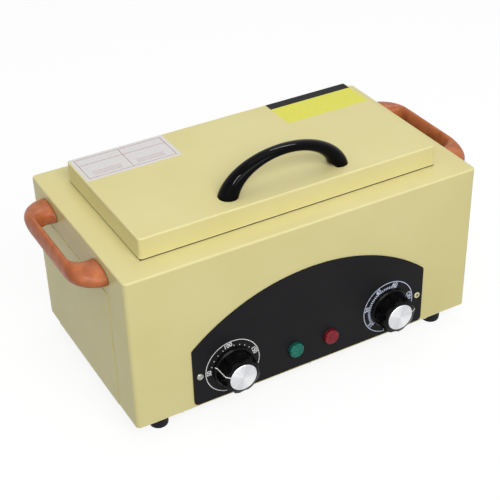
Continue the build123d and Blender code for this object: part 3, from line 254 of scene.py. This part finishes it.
# Deep-drawn stainless sheet, bright annealed: long fine draw lines and a soft sheen
stainless = {
    "colour": "#C6C3BD", "second": "#BAB7B1", "rough": 0.27, "uneven": 0.06, "patch": 30,
    "grain": 1.2, "grainDepth": 0.004, "stretch": (0.12, 1, 1), "ripple": 40, "rippleDepth": 0.06,
    "shader": {"Metallic": 1.0},
}
dress(
    finishMaterial("drawnStainless", stainless), "chamber", "instrument_tray", "tray_handles", "lid_liner"
)

# Bright zinc plating with its faint blue and yellow passivation
zincPlate = {
    "colour": "#C9CBD0", "second": "#C2BFAF", "rough": 0.30, "uneven": 0.08, "patch": 7,
    "grain": 0.35, "grainDepth": 0.006, "shader": {"Metallic": 1.0},
}
dress(
    finishMaterial("brightZincPlate", zincPlate), "bottom_screws", "foot_screws", "clamp_nuts",
    "lid_handle_screws", "carry_handle_screws", "hinge_case_leaves", "hinge_lid_leaves",
    "hinge_case_rivets", "hinge_lid_rivets",
)

# Fixings of the panel: a dulled nickel screw and a pale plated rivet
dullNickel = {
    "colour": "#C2C0B8", "second": "#9A988F", "rough": 0.42, "uneven": 0.08, "patch": 3,
    "grain": 0.25, "grainDepth": 0.01, "shader": {"Metallic": 1.0},
}
dress(finishMaterial("dulledNickel", dullNickel), "panel_screw")
paleRivet = {
    "colour": "#D8D0AE", "second": "#C4BA92", "rough": 0.38, "uneven": 0.08, "patch": 2.5,
    "grain": 0.25, "grainDepth": 0.01, "shader": {"Metallic": 0.7},
}
dress(finishMaterial("platedRivet", paleRivet), "panel_rivet")

# Turned steel of shafts and pins, and the oxidised sheath of the heater
turnedSteel = {
    "colour": "#9C9A96", "second": "#8B8985", "rough": 0.32, "uneven": 0.07, "patch": 5,
    "grain": 0.3, "grainDepth": 0.005, "stretch": (1, 0.2, 1), "shader": {"Metallic": 1.0},
}
dress(finishMaterial("turnedSteel", turnedSteel), "temperature_shaft", "timer_shaft", "hinge_pins")
heaterSheath = {
    "colour": "#6A655C", "second": "#4B4944", "rough": 0.48, "uneven": 0.1, "patch": 18,
    "grain": 0.5, "grainDepth": 0.01, "shader": {"Metallic": 1.0},
}
dress(finishMaterial("oxidisedSheath", heaterSheath), "heating_element")

# Turned brass, slightly tarnished
brass = {
    "colour": "#C8AC6C", "second": "#AD8E4F", "rough": 0.34, "uneven": 0.08, "patch": 4,
    "grain": 0.3, "grainDepth": 0.005, "shader": {"Metallic": 1.0},
}
dress(finishMaterial("turnedBrass", brass), "temperature_nut", "timer_nut", "sensing_bulb")

# Natural nylon and dark phenolic of the parts inside
nylon = {
    "colour": "#E4E1D2", "second": "#DAD6C4", "rough": 0.42, "uneven": 0.06, "patch": 10,
    "grain": 0.5, "grainDepth": 0.008, "shader": {"IOR": 1.53, "Subsurface Weight": 0.1},
}
dress(finishMaterial("naturalNylon", nylon), "green_lamp_holder", "red_lamp_holder", "terminal_block")
darkPhenolic = {
    "colour": "#2A211D", "second": "#352A24", "rough": 0.40, "uneven": 0.07, "patch": 8,
    "grain": 0.4, "grainDepth": 0.008, "shader": {"IOR": 1.55},
}
dress(
    finishMaterial("mouldedPhenolic", darkPhenolic), "temperature_control", "timer", "thermal_cutout",
    "cord_bushing",
)

# Mineral wool: pressed fibres, yellow-brown, wholly matt
wool = {
    "colour": "#B9AC7E", "second": "#9D9066", "rough": 0.95, "uneven": 0.04, "patch": 8,
    "grain": 1.6, "grainDepth": 0.8, "stretch": (0.3, 0.3, 1), "speck": "#D6CB9F", "speckSize": 1.5,
    "speckShare": 0.7, "shader": {"IOR": 1.3, "Specular IOR Level": 0.1},
}
dress(finishMaterial("pressedMineralWool", wool), "insulation", "lid_insulation")


# Hot-dip galvanised sheet: crystals of zinc some 9 mm across, each with its own shade
galvanised = {
    "colour": "#AEB3B5", "second": "#8E9497", "rough": 0.40, "uneven": 0.10, "crystal": 9,
    "crystalDepth": 0.05, "grain": 0.8, "grainDepth": 0.006, "shader": {"Metallic": 1.0},
}


def galvanisedMaterial():
    material, tree, shader, place = startMaterial("hotDipGalvanised", galvanised)
    crystals = addNode(
        tree, "ShaderNodeTexVoronoi", {"Vector": place}, {"Scale": 1 / (galvanised["crystal"] * mm)}
    ).outputs
    shade = addNode(tree, "ShaderNodeSeparateColor", {"Color": crystals["Color"]}).outputs["Red"]
    tree.links.new(
        blendColour(tree, shade, galvanised["colour"], galvanised["second"]), shader.inputs["Base Color"]
    )
    low, high = galvanised["rough"] - galvanised["uneven"], galvanised["rough"] + galvanised["uneven"]
    tree.links.new(spread(tree, shade, low, high, 0, 1), shader.inputs["Roughness"])
    addBump(tree, shader, [
        (crystals["Distance"], galvanised["crystalDepth"]),
        (patches(tree, place, galvanised["grain"], 2.0), galvanised["grainDepth"]),
    ])
    return material


dress(galvanisedMaterial(), "inner_shield", "heater_clamp_plate")


# Spun aluminium discs of the knobs: turning marks run round the centre, and the bright fans of light on
# them are painted into the colour; the real grooves are some 0.05 mm apart and are drawn 0.5 mm apart, so
# that they show
spunDisc = {
    "colour": "#E2E3E5", "rough": 0.31, "uneven": 0.05, "groove": 0.5, "grooveDepth": 0.004,
    "bright": "#F4F5F7", "shade": "#C8CACE", "paintedFans": 2, "paintedFanTurn": 128, "streaks": 3, "drift": 0.4,
    "shader": {"Metallic": 1.0, "Anisotropic": 0.8},
}


def spunMaterial(name, node):
    low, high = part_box(node)
    centre = (low + high) / 2
    material, tree, shader, place = startMaterial(name, spunDisc)
    moved = addNode(
        tree, "ShaderNodeMapping", {"Vector": place}, {"Location": tuple(-centre)}
    ).outputs["Vector"]
    axes = addNode(tree, "ShaderNodeSeparateXYZ", {"Vector": moved}).outputs
    flat = addNode(tree, "ShaderNodeCombineXYZ", {"X": axes["X"], "Y": axes["Z"]}).outputs["Vector"]
    radius = addNode(tree, "ShaderNodeVectorMath", {0: flat}, operation="LENGTH").outputs["Value"]
    turn = calc(tree, "ARCTAN2", axes["Z"], axes["X"])
    drift = calc(tree, "MULTIPLY", turn, spunDisc["drift"] * mm)  # so that no groove is a perfect ring
    rings = addNode(tree, "ShaderNodeCombineXYZ", {"X": radius, "Y": drift}).outputs["Vector"]
    grooves = addNode(
        tree, "ShaderNodeTexNoise", {"Vector": rings},
        {"Scale": 1 / (spunDisc["groove"] * mm), "Detail": 3.0},
    ).outputs["Fac"]
    low, high = spunDisc["rough"] - spunDisc["uneven"], spunDisc["rough"] + spunDisc["uneven"]
    tree.links.new(spread(tree, grooves, low, high), shader.inputs["Roughness"])
    # the fans: painted glints, two opposite bright fans painted into the colour with finer streaks between
    # them, all from the middle outwards
    start = math.radians(spunDisc["paintedFanTurn"])
    wave = calc(tree, "COSINE", calc(tree, "MULTIPLY", calc(tree, "SUBTRACT", turn, start), spunDisc["paintedFans"]))
    outward = addNode(tree, "ShaderNodeVectorMath", {0: flat}, operation="NORMALIZE").outputs["Vector"]
    streaks = addNode(
        tree, "ShaderNodeTexNoise", {"Vector": outward}, {"Scale": spunDisc["streaks"], "Detail": 4.0}
    ).outputs["Fac"]
    paintedFans = calc(tree, "ADD", spread(tree, wave, 0, 0.6, -0.6, 1.0), spread(tree, streaks, 0, 0.4))
    # painted glints: the fans are painted into the base colour, from shade to bright
    paintedGlint = blendColour(tree, paintedFans, spunDisc["shade"], spunDisc["bright"])
    colour = blendColour(tree, spread(tree, grooves, 0, 0.25), paintedGlint, spunDisc["colour"])
    tree.links.new(colour, shader.inputs["Base Color"])
    # the turning marks' direction: round the middle, in the plane of the disc
    across = addNode(tree, "ShaderNodeVectorMath", {0: moved}, {1: (0, 1, 0)}, operation="CROSS_PRODUCT")
    along = addNode(tree, "ShaderNodeVectorMath", {0: across.outputs["Vector"]}, operation="NORMALIZE")
    tree.links.new(along.outputs["Vector"], shader.inputs["Tangent"])
    addBump(tree, shader, [(grooves, spunDisc["grooveDepth"])])
    return material


dress(spunMaterial("spunAluminiumLeft", "temperature_knob_cap"), "temperature_knob_cap")
dress(spunMaterial("spunAluminiumRight", "timer_knob_cap"), "timer_knob_cap")
print("metals done")


# Lamp lenses: dyed polycarbonate with a stippled front that scatters the light; the bright middles of the
# stipple cells are partly a painted highlight
lens = {
    "rough": 0.29, "uneven": 0.11, "stipple": 1.0, "stippleDepth": 0.10, "frontFrom": 0.2, "frontTo": 1.6,
    "shader": {
        "IOR": 1.58, "Subsurface Weight": 0.15, "Subsurface Scale": 0.001, "Specular IOR Level": 0.15,
    },
}
lensColours = {"green_lamp_lens": ("#259E86", "#0C5044"), "red_lamp_lens": ("#B83240", "#66131B")}


def lensMaterial(node):
    colour, deep = lensColours[node]
    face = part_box(node)[0].y
    material, tree, shader, place = startMaterial(node + "Polycarbonate", {**lens, "colour": colour})
    depth = addNode(tree, "ShaderNodeSeparateXYZ", {"Vector": place}).outputs["Y"]
    front = spread(tree, depth, 1, 0, face + lens["frontFrom"] * mm, face + lens["frontTo"] * mm)
    cells = addNode(
        tree, "ShaderNodeTexVoronoi", {"Vector": place}, {"Scale": 1 / (lens["stipple"] * mm)}
    ).outputs["Distance"]
    # the stipple cells: cloudy dye, with bright middles that are partly a painted highlight
    cloudyAndSparkle = blendColour(tree, spread(tree, cells, 0, 1, 0, 0.7), colour, deep)
    tree.links.new(blendColour(tree, front, deep, cloudyAndSparkle), shader.inputs["Base Color"])
    low, high = lens["rough"] - lens["uneven"], lens["rough"] + lens["uneven"]
    tree.links.new(spread(tree, cells, low, high, 0, 0.8), shader.inputs["Roughness"])
    addBump(tree, shader, [(cells, lens["stippleDepth"])])
    return material


for name in lensColours:
    dress(lensMaterial(name), name)
print("lenses done")


# Inks and vinyl. The ink lies on the surface some hundredths of a millimetre thick.
def inkMaterial(name, colour, second, rough=0.45, gloss=0.3):
    return finishMaterial(name, {
        "colour": colour, "second": second, "rough": rough, "uneven": 0.05, "patch": 3,
        "grain": 0.3, "grainDepth": 0.003, "shader": {"IOR": 1.5, "Specular IOR Level": gloss},
    })


whiteInk = inkMaterial("screenInkWhite", "#F4F4F2", "#E6E6E4")
blueInk = inkMaterial("screenInkPaleBlue", "#E2E8F8", "#CBD5F0")
whiteVinyl = inkMaterial("printedVinylWhite", "#DCDAD9", "#D5D2D2", 0.38)
yellowVinyl = inkMaterial("printedVinylYellow", "#DEDC48", "#D8D53C", 0.36)
blackVinyl = inkMaterial("printedVinylBlack", "#1C1C1E", "#232325", 0.5, 0.06)
lineInk = inkMaterial("labelInkRed", "#A8605F", "#9C5252")


def meshObject(name, mesh, material):
    piece = bpy.data.objects.new(name, mesh)
    bpy.context.scene.collection.objects.link(piece)
    mesh.materials.clear()
    mesh.materials.append(material)
    return piece


def addBox(work, low, high):  # a box between two corners, outward faces
    corners = [
        work.verts.new((x, y, z))
        for x in (low[0], high[0]) for y in (low[1], high[1]) for z in (low[2], high[2])
    ]
    for face in ((0, 1, 3, 2), (4, 6, 7, 5), (0, 4, 5, 1), (2, 3, 7, 6), (0, 2, 6, 4), (1, 5, 7, 3)):
        work.faces.new([corners[i] for i in face])


def finishMesh(name, work):
    bmesh.ops.remove_doubles(work, verts=work.verts, dist=1e-7)
    bmesh.ops.recalc_face_normals(work, faces=work.faces)
    mesh = bpy.data.meshes.new(name)
    work.to_mesh(mesh)
    work.free()
    return mesh


def settled(piece):  # a modified or text object turned into a plain mesh
    evaluated = piece.evaluated_get(bpy.context.evaluated_depsgraph_get())
    mesh = bpy.data.meshes.new_from_object(evaluated)
    bpy.data.objects.remove(piece)
    return mesh


# Geometry Nodes: short bars or round dots set evenly round an arc in the panel's plane
def dialMarksTree():
    tree = bpy.data.node_groups.new("dialMarks", "GeometryNodeTree")
    sizes = {
        "Radius": ("NodeSocketFloat", 0.02), "Start": ("NodeSocketFloat", 0.0),
        "Sweep": ("NodeSocketFloat", 1.0), "Count": ("NodeSocketInt", 5),
        "Width": ("NodeSocketFloat", 0.0005), "Length": ("NodeSocketFloat", 0.001),
        "Thickness": ("NodeSocketFloat", 0.00004), "Round": ("NodeSocketBool", False),
        "Centre": ("NodeSocketVector", (0, 0, 0)), "Ink": ("NodeSocketMaterial", None),
    }
    names = {}
    for name, (kind, default) in sizes.items():
        socket = tree.interface.new_socket(name, in_out="INPUT", socket_type=kind)
        if default is not None:
            socket.default_value = default
        names[name] = socket.identifier
    tree.interface.new_socket("Geometry", in_out="OUTPUT", socket_type="NodeSocketGeometry")
    given = addNode(tree, "NodeGroupInput").outputs
    arc = addNode(tree, "GeometryNodeCurveArc", {
        "Resolution": given["Count"], "Radius": given["Radius"],
        "Start Angle": given["Start"], "Sweep Angle": given["Sweep"],
    }, mode="RADIUS").outputs["Curve"]
    points = addNode(tree, "GeometryNodeCurveToPoints", {"Curve": arc}, mode="EVALUATED").outputs
    place = addNode(tree, "GeometryNodeInputPosition").outputs["Position"]
    turned = addNode(
        tree, "FunctionNodeAlignRotationToVector", {"Vector": place}, axis="Y", pivot_axis="Z"
    ).outputs["Rotation"]
    size = addNode(
        tree, "ShaderNodeCombineXYZ", {"X": given["Width"], "Y": given["Length"], "Z": given["Thickness"]}
    ).outputs["Vector"]
    bar = addNode(tree, "GeometryNodeMeshCube", {"Size": size}).outputs["Mesh"]
    half = calc(tree, "MULTIPLY", given["Width"], 0.5)
    dot = addNode(
        tree, "GeometryNodeMeshCylinder", {"Radius": half, "Depth": given["Thickness"]}, {"Vertices": 16}
    ).outputs["Mesh"]
    mark = addNode(
        tree, "GeometryNodeSwitch", {"Switch": given["Round"], "False": bar, "True": dot},
        input_type="GEOMETRY",
    ).outputs["Output"]
    marks = addNode(
        tree, "GeometryNodeInstanceOnPoints",
        {"Points": points["Points"], "Instance": mark, "Rotation": turned},
    ).outputs["Instances"]
    real = addNode(tree, "GeometryNodeRealizeInstances", {"Geometry": marks}).outputs["Geometry"]
    stood = addNode(
        tree, "GeometryNodeTransform", {"Geometry": real, "Translation": given["Centre"]},
        {"Rotation": (math.pi / 2, 0, 0)},
    ).outputs["Geometry"]
    inked = addNode(
        tree, "GeometryNodeSetMaterial", {"Geometry": stood, "Material": given["Ink"]}
    ).outputs["Geometry"]
    addNode(tree, "NodeGroupOutput", {"Geometry": inked})
    return tree, names


marksTree, marksInputs = dialMarksTree()


def dialMarks(values):  # the marks' mesh for one set of sizes
    holder = bpy.data.objects.new("dialMarksHolder", bpy.data.meshes.new("dialMarksHolder"))
    bpy.context.scene.collection.objects.link(holder)
    modifier = holder.modifiers.new("dialMarks", "NODES")
    modifier.node_group = marksTree
    for name, value in values.items():
        modifier[marksInputs[name]] = value
    return settled(holder)


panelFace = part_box("front_panel")[0].y
inkLift, inkDepth = 0.03 * mm, 0.04 * mm


def dialCentre(knob):
    low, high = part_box(knob)
    return Vector(((low.x + high.x) / 2, panelFace, (low.z + high.z) / 2))


def arcBand(work, centre, radius, width, startDegrees, stopDegrees, steps=96):  # a flat band round an arc
    rows = []
    for step in range(steps + 1):
        turn = math.radians(startDegrees + (stopDegrees - startDegrees) * step / steps)
        way = Vector((math.cos(turn), 0, math.sin(turn)))
        rows.append([
            work.verts.new(centre + way * r - Vector((0, y, 0)))
            for r, y in (
                (radius - width / 2, inkLift), (radius + width / 2, inkLift),
                (radius + width / 2, inkLift + inkDepth), (radius - width / 2, inkLift + inkDepth),
            )
        ])
    for a, b in zip(rows, rows[1:]):
        for i in range(4):
            work.faces.new((a[i], a[(i + 1) % 4], b[(i + 1) % 4], b[i]))
    work.faces.new(rows[0])
    work.faces.new(list(reversed(rows[-1])))


def dialPlace(centre, radius, degrees):  # where a word stands on the dial, its top away from the centre
    return (
        Matrix.Translation(centre - Vector((0, inkLift + inkDepth / 2, 0)))
        @ Matrix.Rotation(math.pi / 2, 4, "X")
        @ Matrix.Rotation(math.radians(degrees - 90), 4, "Z")
        @ Matrix.Translation((0, radius, 0))
    )


figureShare, figureBold, figureWidth = 0.7, 0.032, 0.9  # height in the font, weight and narrowing


def addWord(work, body, height, place, width):  # raised figures as thick as the ink
    curve = bpy.data.curves.new("figure", "FONT")
    curve.body = body
    curve.size = height / figureShare
    curve.align_x, curve.align_y = "CENTER", "CENTER"
    curve.extrude = inkDepth / 2
    curve.offset = height * figureBold
    curve.resolution_u = 3
    piece = bpy.data.objects.new("figure", curve)
    bpy.context.scene.collection.objects.link(piece)
    mesh = settled(piece)
    mesh.transform(place @ Matrix.Diagonal((width, 1, 1, 1)))
    work.from_mesh(mesh)


# Temperature dial: a ring open below, three figures and dots between them
temperatureDial = {
    "knob": "temperature_knob", "ring": 24.3, "line": 0.6, "from": 255.0, "to": -18.0, "tick": 2.4,
    "figures": (("50", 179.0), ("100", 100.0), ("150", 21.0)), "figureRadius": 21.2, "figureHeight": 4.0,
    "dots": ((164.0, -49.0, 4), (85.0, -46.0, 4)), "dotRadius": 19.5, "dotSize": 0.95,
}
# Timer dial: a ring, groups of figures and fine ticks between them
timerDial = {
    "knob": "timer_knob", "ring": 24.6, "line": 0.6, "from": 261.0, "to": -12.0, "tick": 2.2,
    "figures": (("15", 216.0), ("30", 169.0), ("45", 119.0), ("60", 74.0), ("ON", 10.0)),
    "figureRadius": 21.3, "figureHeight": 4.2,
    "ticks": (222.0, -154.0, 31), "tickRadius": 19.4, "tickLength": 2.3, "tickWidth": 0.8,
}


def dialPrint(name, dial, ink):
    centre = dialCentre(dial["knob"])
    work = bmesh.new()
    arcBand(work, centre, dial["ring"] * mm, dial["line"] * mm, dial["from"], dial["to"])
    for degrees in (dial["from"], dial["to"]):  # the ring's ends turn inwards
        way = Vector((math.cos(math.radians(degrees)), 0, math.sin(math.radians(degrees))))
        middle = centre + way * (dial["ring"] - dial["tick"] / 2) * mm
        half = Vector((dial["line"] / 2, inkDepth / mm / 2, dial["tick"] / 2)) * mm
        bar = bmesh.new()
        addBox(bar, -half, half)
        turn = Matrix.Rotation(math.radians(90 - degrees), 4, "Y")
        bar.transform(Matrix.Translation(middle - Vector((0, inkLift + inkDepth / 2, 0))) @ turn)
        piece = bpy.data.meshes.new("end")
        bar.to_mesh(piece)
        bar.free()
        work.from_mesh(piece)
    for body, degrees in dial["figures"]:
        stand = dialPlace(centre, dial["figureRadius"] * mm, degrees)
        addWord(work, body, dial["figureHeight"] * mm, stand, figureWidth)
    lifted = centre - Vector((0, inkLift + inkDepth / 2, 0))
    for start, sweep, count in dial.get("dots", ()):
        work.from_mesh(dialMarks({
            "Radius": dial["dotRadius"] * mm, "Start": math.radians(start), "Sweep": math.radians(sweep),
            "Count": count, "Width": dial["dotSize"] * mm, "Thickness": inkDepth, "Round": True,
            "Centre": lifted, "Ink": ink,
        }))
    if "ticks" in dial:
        start, sweep, count = dial["ticks"]
        work.from_mesh(dialMarks({
            "Radius": dial["tickRadius"] * mm, "Start": math.radians(start), "Sweep": math.radians(sweep),
            "Count": count, "Width": dial["tickWidth"] * mm, "Length": dial["tickLength"] * mm,
            "Thickness": inkDepth, "Round": False, "Centre": lifted, "Ink": ink,
        }))
    bmesh.ops.recalc_face_normals(work, faces=work.faces)
    mesh = bpy.data.meshes.new(name)
    work.to_mesh(mesh)
    work.free()
    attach(meshObject(name, mesh, ink), "case")


dialPrint("temperature_scale", temperatureDial, whiteInk)
dialPrint("timer_scale", timerDial, blueInk)
print("dials done")

# Pointer lines: white paint from the foot of each knob up its side and over the rim to the disc
pointer = {
    "width": 0.85, "lift": 0.06,
    "profile": ((17.97, 1.9), (17.97, 2.95), (16.87, 3.95), (16.07, 16.25), (12.65, 17.92), (12.1, 17.92)),
}


def pointerLine(name, knob, body, degrees):
    centre = dialCentre(knob)
    way = Vector((math.cos(math.radians(degrees)), 0, math.sin(math.radians(degrees))))
    side = Vector((-way.z, 0, way.x)) * pointer["width"] * mm / 2
    work = bmesh.new()
    rows = []
    for radius, depth in pointer["profile"]:
        on = centre + way * radius * mm - Vector((0, depth * mm, 0))
        rows.append((on - side, on + side))
    outward = [way] * 4 + [Vector((0, -1, 0))] * 2
    layers = []
    for (left, right), out in zip(rows, outward):
        out = out * pointer["lift"] * mm
        layers.append([work.verts.new(p) for p in (left, right, right + out, left + out)])
    for a, b in zip(layers, layers[1:]):
        for i in range(4):
            work.faces.new((a[i], a[(i + 1) % 4], b[(i + 1) % 4], b[i]))
    work.faces.new(layers[0])
    work.faces.new(list(reversed(layers[-1])))
    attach(meshObject(name, finishMesh(name, work), whiteInk), body)


pointerLine("temperature_pointer", "temperature_knob", "temperature_knob", 160.0)
pointerLine("timer_pointer", "timer_knob", "timer_knob", 7.0)
print("pointers done")

# Two vinyl plates on the lid, flush with its rear edge, with plain fields and rules
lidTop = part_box("lid_shell")[1].z
caseMiddle = (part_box("case_shell")[0].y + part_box("case_shell")[1].y) / 2
whitePlate = {
    "x": (-134.8, -50.8), "y": (27.2, 66.4), "frame": 3.2, "line": 0.45, "header": 10.5,
    "ruleInset": (6, 4), "ruleLength": 25, "ruleWidth": 0.35, "rules": (0, 2.4, 4.8),
}
yellowPlate = {"x": (51.0, 132.4), "y": (27.0, 66.4), "band": 9.8}
vinylDepth, plateInk = 0.12 * mm, 0.02 * mm


def plateBoxes(name, boxes, level, depth, material):  # boxes are x0, x1, y0, y1 in millimetres
    work = bmesh.new()
    for x0, x1, y0, y1 in boxes:
        addBox(
            work, (x0 * mm, caseMiddle + y0 * mm, lidTop + level),
            (x1 * mm, caseMiddle + y1 * mm, lidTop + level + depth),
        )
    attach(meshObject(name, finishMesh(name, work), material), "lid")


def whitePlateBoxes():  # the sheet, and on it a frame, a divider, a header line and fine rules
    (x0, x1), (y0, y1) = whitePlate["x"], whitePlate["y"]
    plateBoxes("white_plate", [(x0, x1, y0, y1)], 0, vinylDepth, whiteVinyl)
    inset, line, fine = whitePlate["frame"], whitePlate["line"], whitePlate["ruleWidth"]
    left, right, front, rear = x0 + inset, x1 - inset, y0 + inset, y1 - inset
    middle, header = (x0 + x1) / 2, rear - whitePlate["header"]
    lines = [
        (left, right, front, front + line), (left, right, rear - line, rear),
        (left, left + line, front, rear), (right - line, right, front, rear),
        (middle, middle + line, front, rear), (left, right, header, header + line),
    ]
    across, up = whitePlate["ruleInset"]
    for start in (left + across, middle + across):
        for level in whitePlate["rules"]:
            lowest = front + up + level
            lines.append((start, start + whitePlate["ruleLength"], lowest, lowest + fine))
    plateBoxes("white_plate_lines", lines, vinylDepth, plateInk, lineInk)


def yellowPlateBoxes():  # a yellow field with a black band along the rear
    (x0, x1), (y0, y1) = yellowPlate["x"], yellowPlate["y"]
    split = y1 - yellowPlate["band"]
    plateBoxes("yellow_plate", [(x0, x1, y0, split)], 0, vinylDepth, yellowVinyl)
    plateBoxes("yellow_plate_band", [(x0, x1, split, y1)], 0, vinylDepth, blackVinyl)


whitePlateBoxes()
yellowPlateBoxes()
print("plates done")


def seenStraight(tree):  # 1 where the camera, gloss or glass sees it, 0 for the light that it gives back
    path = addNode(tree, "ShaderNodeLightPath").outputs
    seen = calc(tree, "MAXIMUM", path["Is Camera Ray"], path["Is Glossy Ray"])
    return calc(tree, "MAXIMUM", seen, path["Is Transmission Ray"])


# Floor: pale and plain. It shows white to the camera, to gloss and through glass, and keeps the shadow.
floorLook = {"colour": "#A0A0A0", "seen": "#707070", "lift": 0.86, "rough": 0.9, "reach": 6.0}
roomLight = {"ambient": 0.46, "backdrop": 1.0}


def floorMaterial():
    material, tree, shader, place = startMaterial("paintedFloor", floorLook)
    shader.inputs["Specular IOR Level"].default_value = 0.0
    seen = seenStraight(tree)
    colour = blendColour(tree, seen, floorLook["colour"], floorLook["seen"])
    tree.links.new(colour, shader.inputs["Base Color"])
    glow = calc(tree, "MULTIPLY", seen, floorLook["lift"])
    emission = addNode(tree, "ShaderNodeEmission", {"Strength": glow})
    both = addNode(tree, "ShaderNodeAddShader", {0: shader.outputs[0], 1: emission.outputs[0]})
    tree.links.new(both.outputs[0], tree.nodes["Material Output"].inputs["Surface"])
    return material


def addFloor():
    work = bmesh.new()
    reach = floorLook["reach"]
    corners = ((-reach, -reach), (reach, -reach), (reach, reach), (-reach, reach))
    work.faces.new([work.verts.new((x, y, 0)) for x, y in corners])
    meshObject("floor", finishMesh("floor", work), floorMaterial())


def addStudio():  # an even white room
    world = bpy.data.worlds.new("studio")
    bpy.context.scene.world = world
    world.use_nodes = True
    tree = world.node_tree
    tree.nodes.clear()
    strength = spread(tree, seenStraight(tree), roomLight["ambient"], roomLight["backdrop"], 0, 1)
    background = addNode(tree, "ShaderNodeBackground", {"Strength": strength}, {"Color": (1, 1, 1, 1)})
    addNode(tree, "ShaderNodeOutputWorld", {"Surface": background.outputs[0]})


addFloor()
addStudio()

# Soft boxes: a broad key in front, a fill at the left, one overhead, and two narrow strips that only gloss
# shows, for the glints on the black mouldings
softBoxes = {
    "key": {"at": (-0.25, -1.62, 1.5), "size": (1.6, 1.2), "power": 31},
    "fill": {"at": (-1.5, -0.8, 0.9), "size": (1.0, 1.0), "power": 1.2},
    "overhead": {"at": (0.1, 0.35, 1.7), "size": (1.0, 1.0), "power": 3.4},
    "strip": {"at": (0.6, 0.68, 1.29), "size": (0.6, 0.03), "power": 7, "glossOnly": True},
    "glint": {"at": (-0.95, -0.5, 1.35), "size": (0.06, 0.5), "power": 17, "glossOnly": True},
}
lightTarget = Vector((0, caseMiddle, 0.09))


def addLight(name, box):
    light = bpy.data.lights.new(name, "AREA")
    light.shape = "RECTANGLE"
    light.size, light.size_y = box["size"]
    light.energy = box["power"]
    lamp = bpy.data.objects.new(name, light)
    bpy.context.scene.collection.objects.link(lamp)
    lamp.location = box["at"]
    lamp.visible_diffuse = not box.get("glossOnly", False)
    lamp.rotation_euler = (lightTarget - Vector(box["at"])).to_track_quat("-Z", "Y").to_euler()


for name, box in softBoxes.items():
    addLight(name, box)

# Camera: solved from the edges of the case in the photograph
shot = {
    "azimuth": -28.54, "elevation": 33.90, "roll": -1.70, "lens": 85.82, "sensor": 36, "width": 0.320,
    "offset": (0.0177, 0.1564, 3.3317),  # sideways, down and away, in widths of the case
}


def addCamera():
    turn, rise, roll = (math.radians(shot[key]) for key in ("azimuth", "elevation", "roll"))
    back = Vector((math.sin(turn) * math.cos(rise), -math.cos(turn) * math.cos(rise), math.sin(rise)))
    right = Vector((math.cos(turn), math.sin(turn), 0))
    up = back.cross(right)
    rowX = math.cos(roll) * right + math.sin(roll) * up
    rowY = math.sin(roll) * right - math.cos(roll) * up
    sideways, down, away = shot["offset"]
    spot = Vector((0, caseMiddle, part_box("case_shell")[0].z))
    spot -= (rowX * sideways + rowY * down - back * away) * shot["width"]
    camera = bpy.data.objects.new("camera", bpy.data.cameras.new("camera"))
    bpy.context.scene.collection.objects.link(camera)
    camera.data.lens = shot["lens"]
    camera.data.sensor_width = shot["sensor"]
    camera.matrix_world = Matrix((
        (rowX.x, -rowY.x, back.x, spot.x), (rowX.y, -rowY.y, back.y, spot.y),
        (rowX.z, -rowY.z, back.z, spot.z), (0, 0, 0, 1),
    ))
    bpy.context.scene.camera = camera


addCamera()
bpy.context.scene.view_settings.view_transform = "Standard"
print("light and camera done")
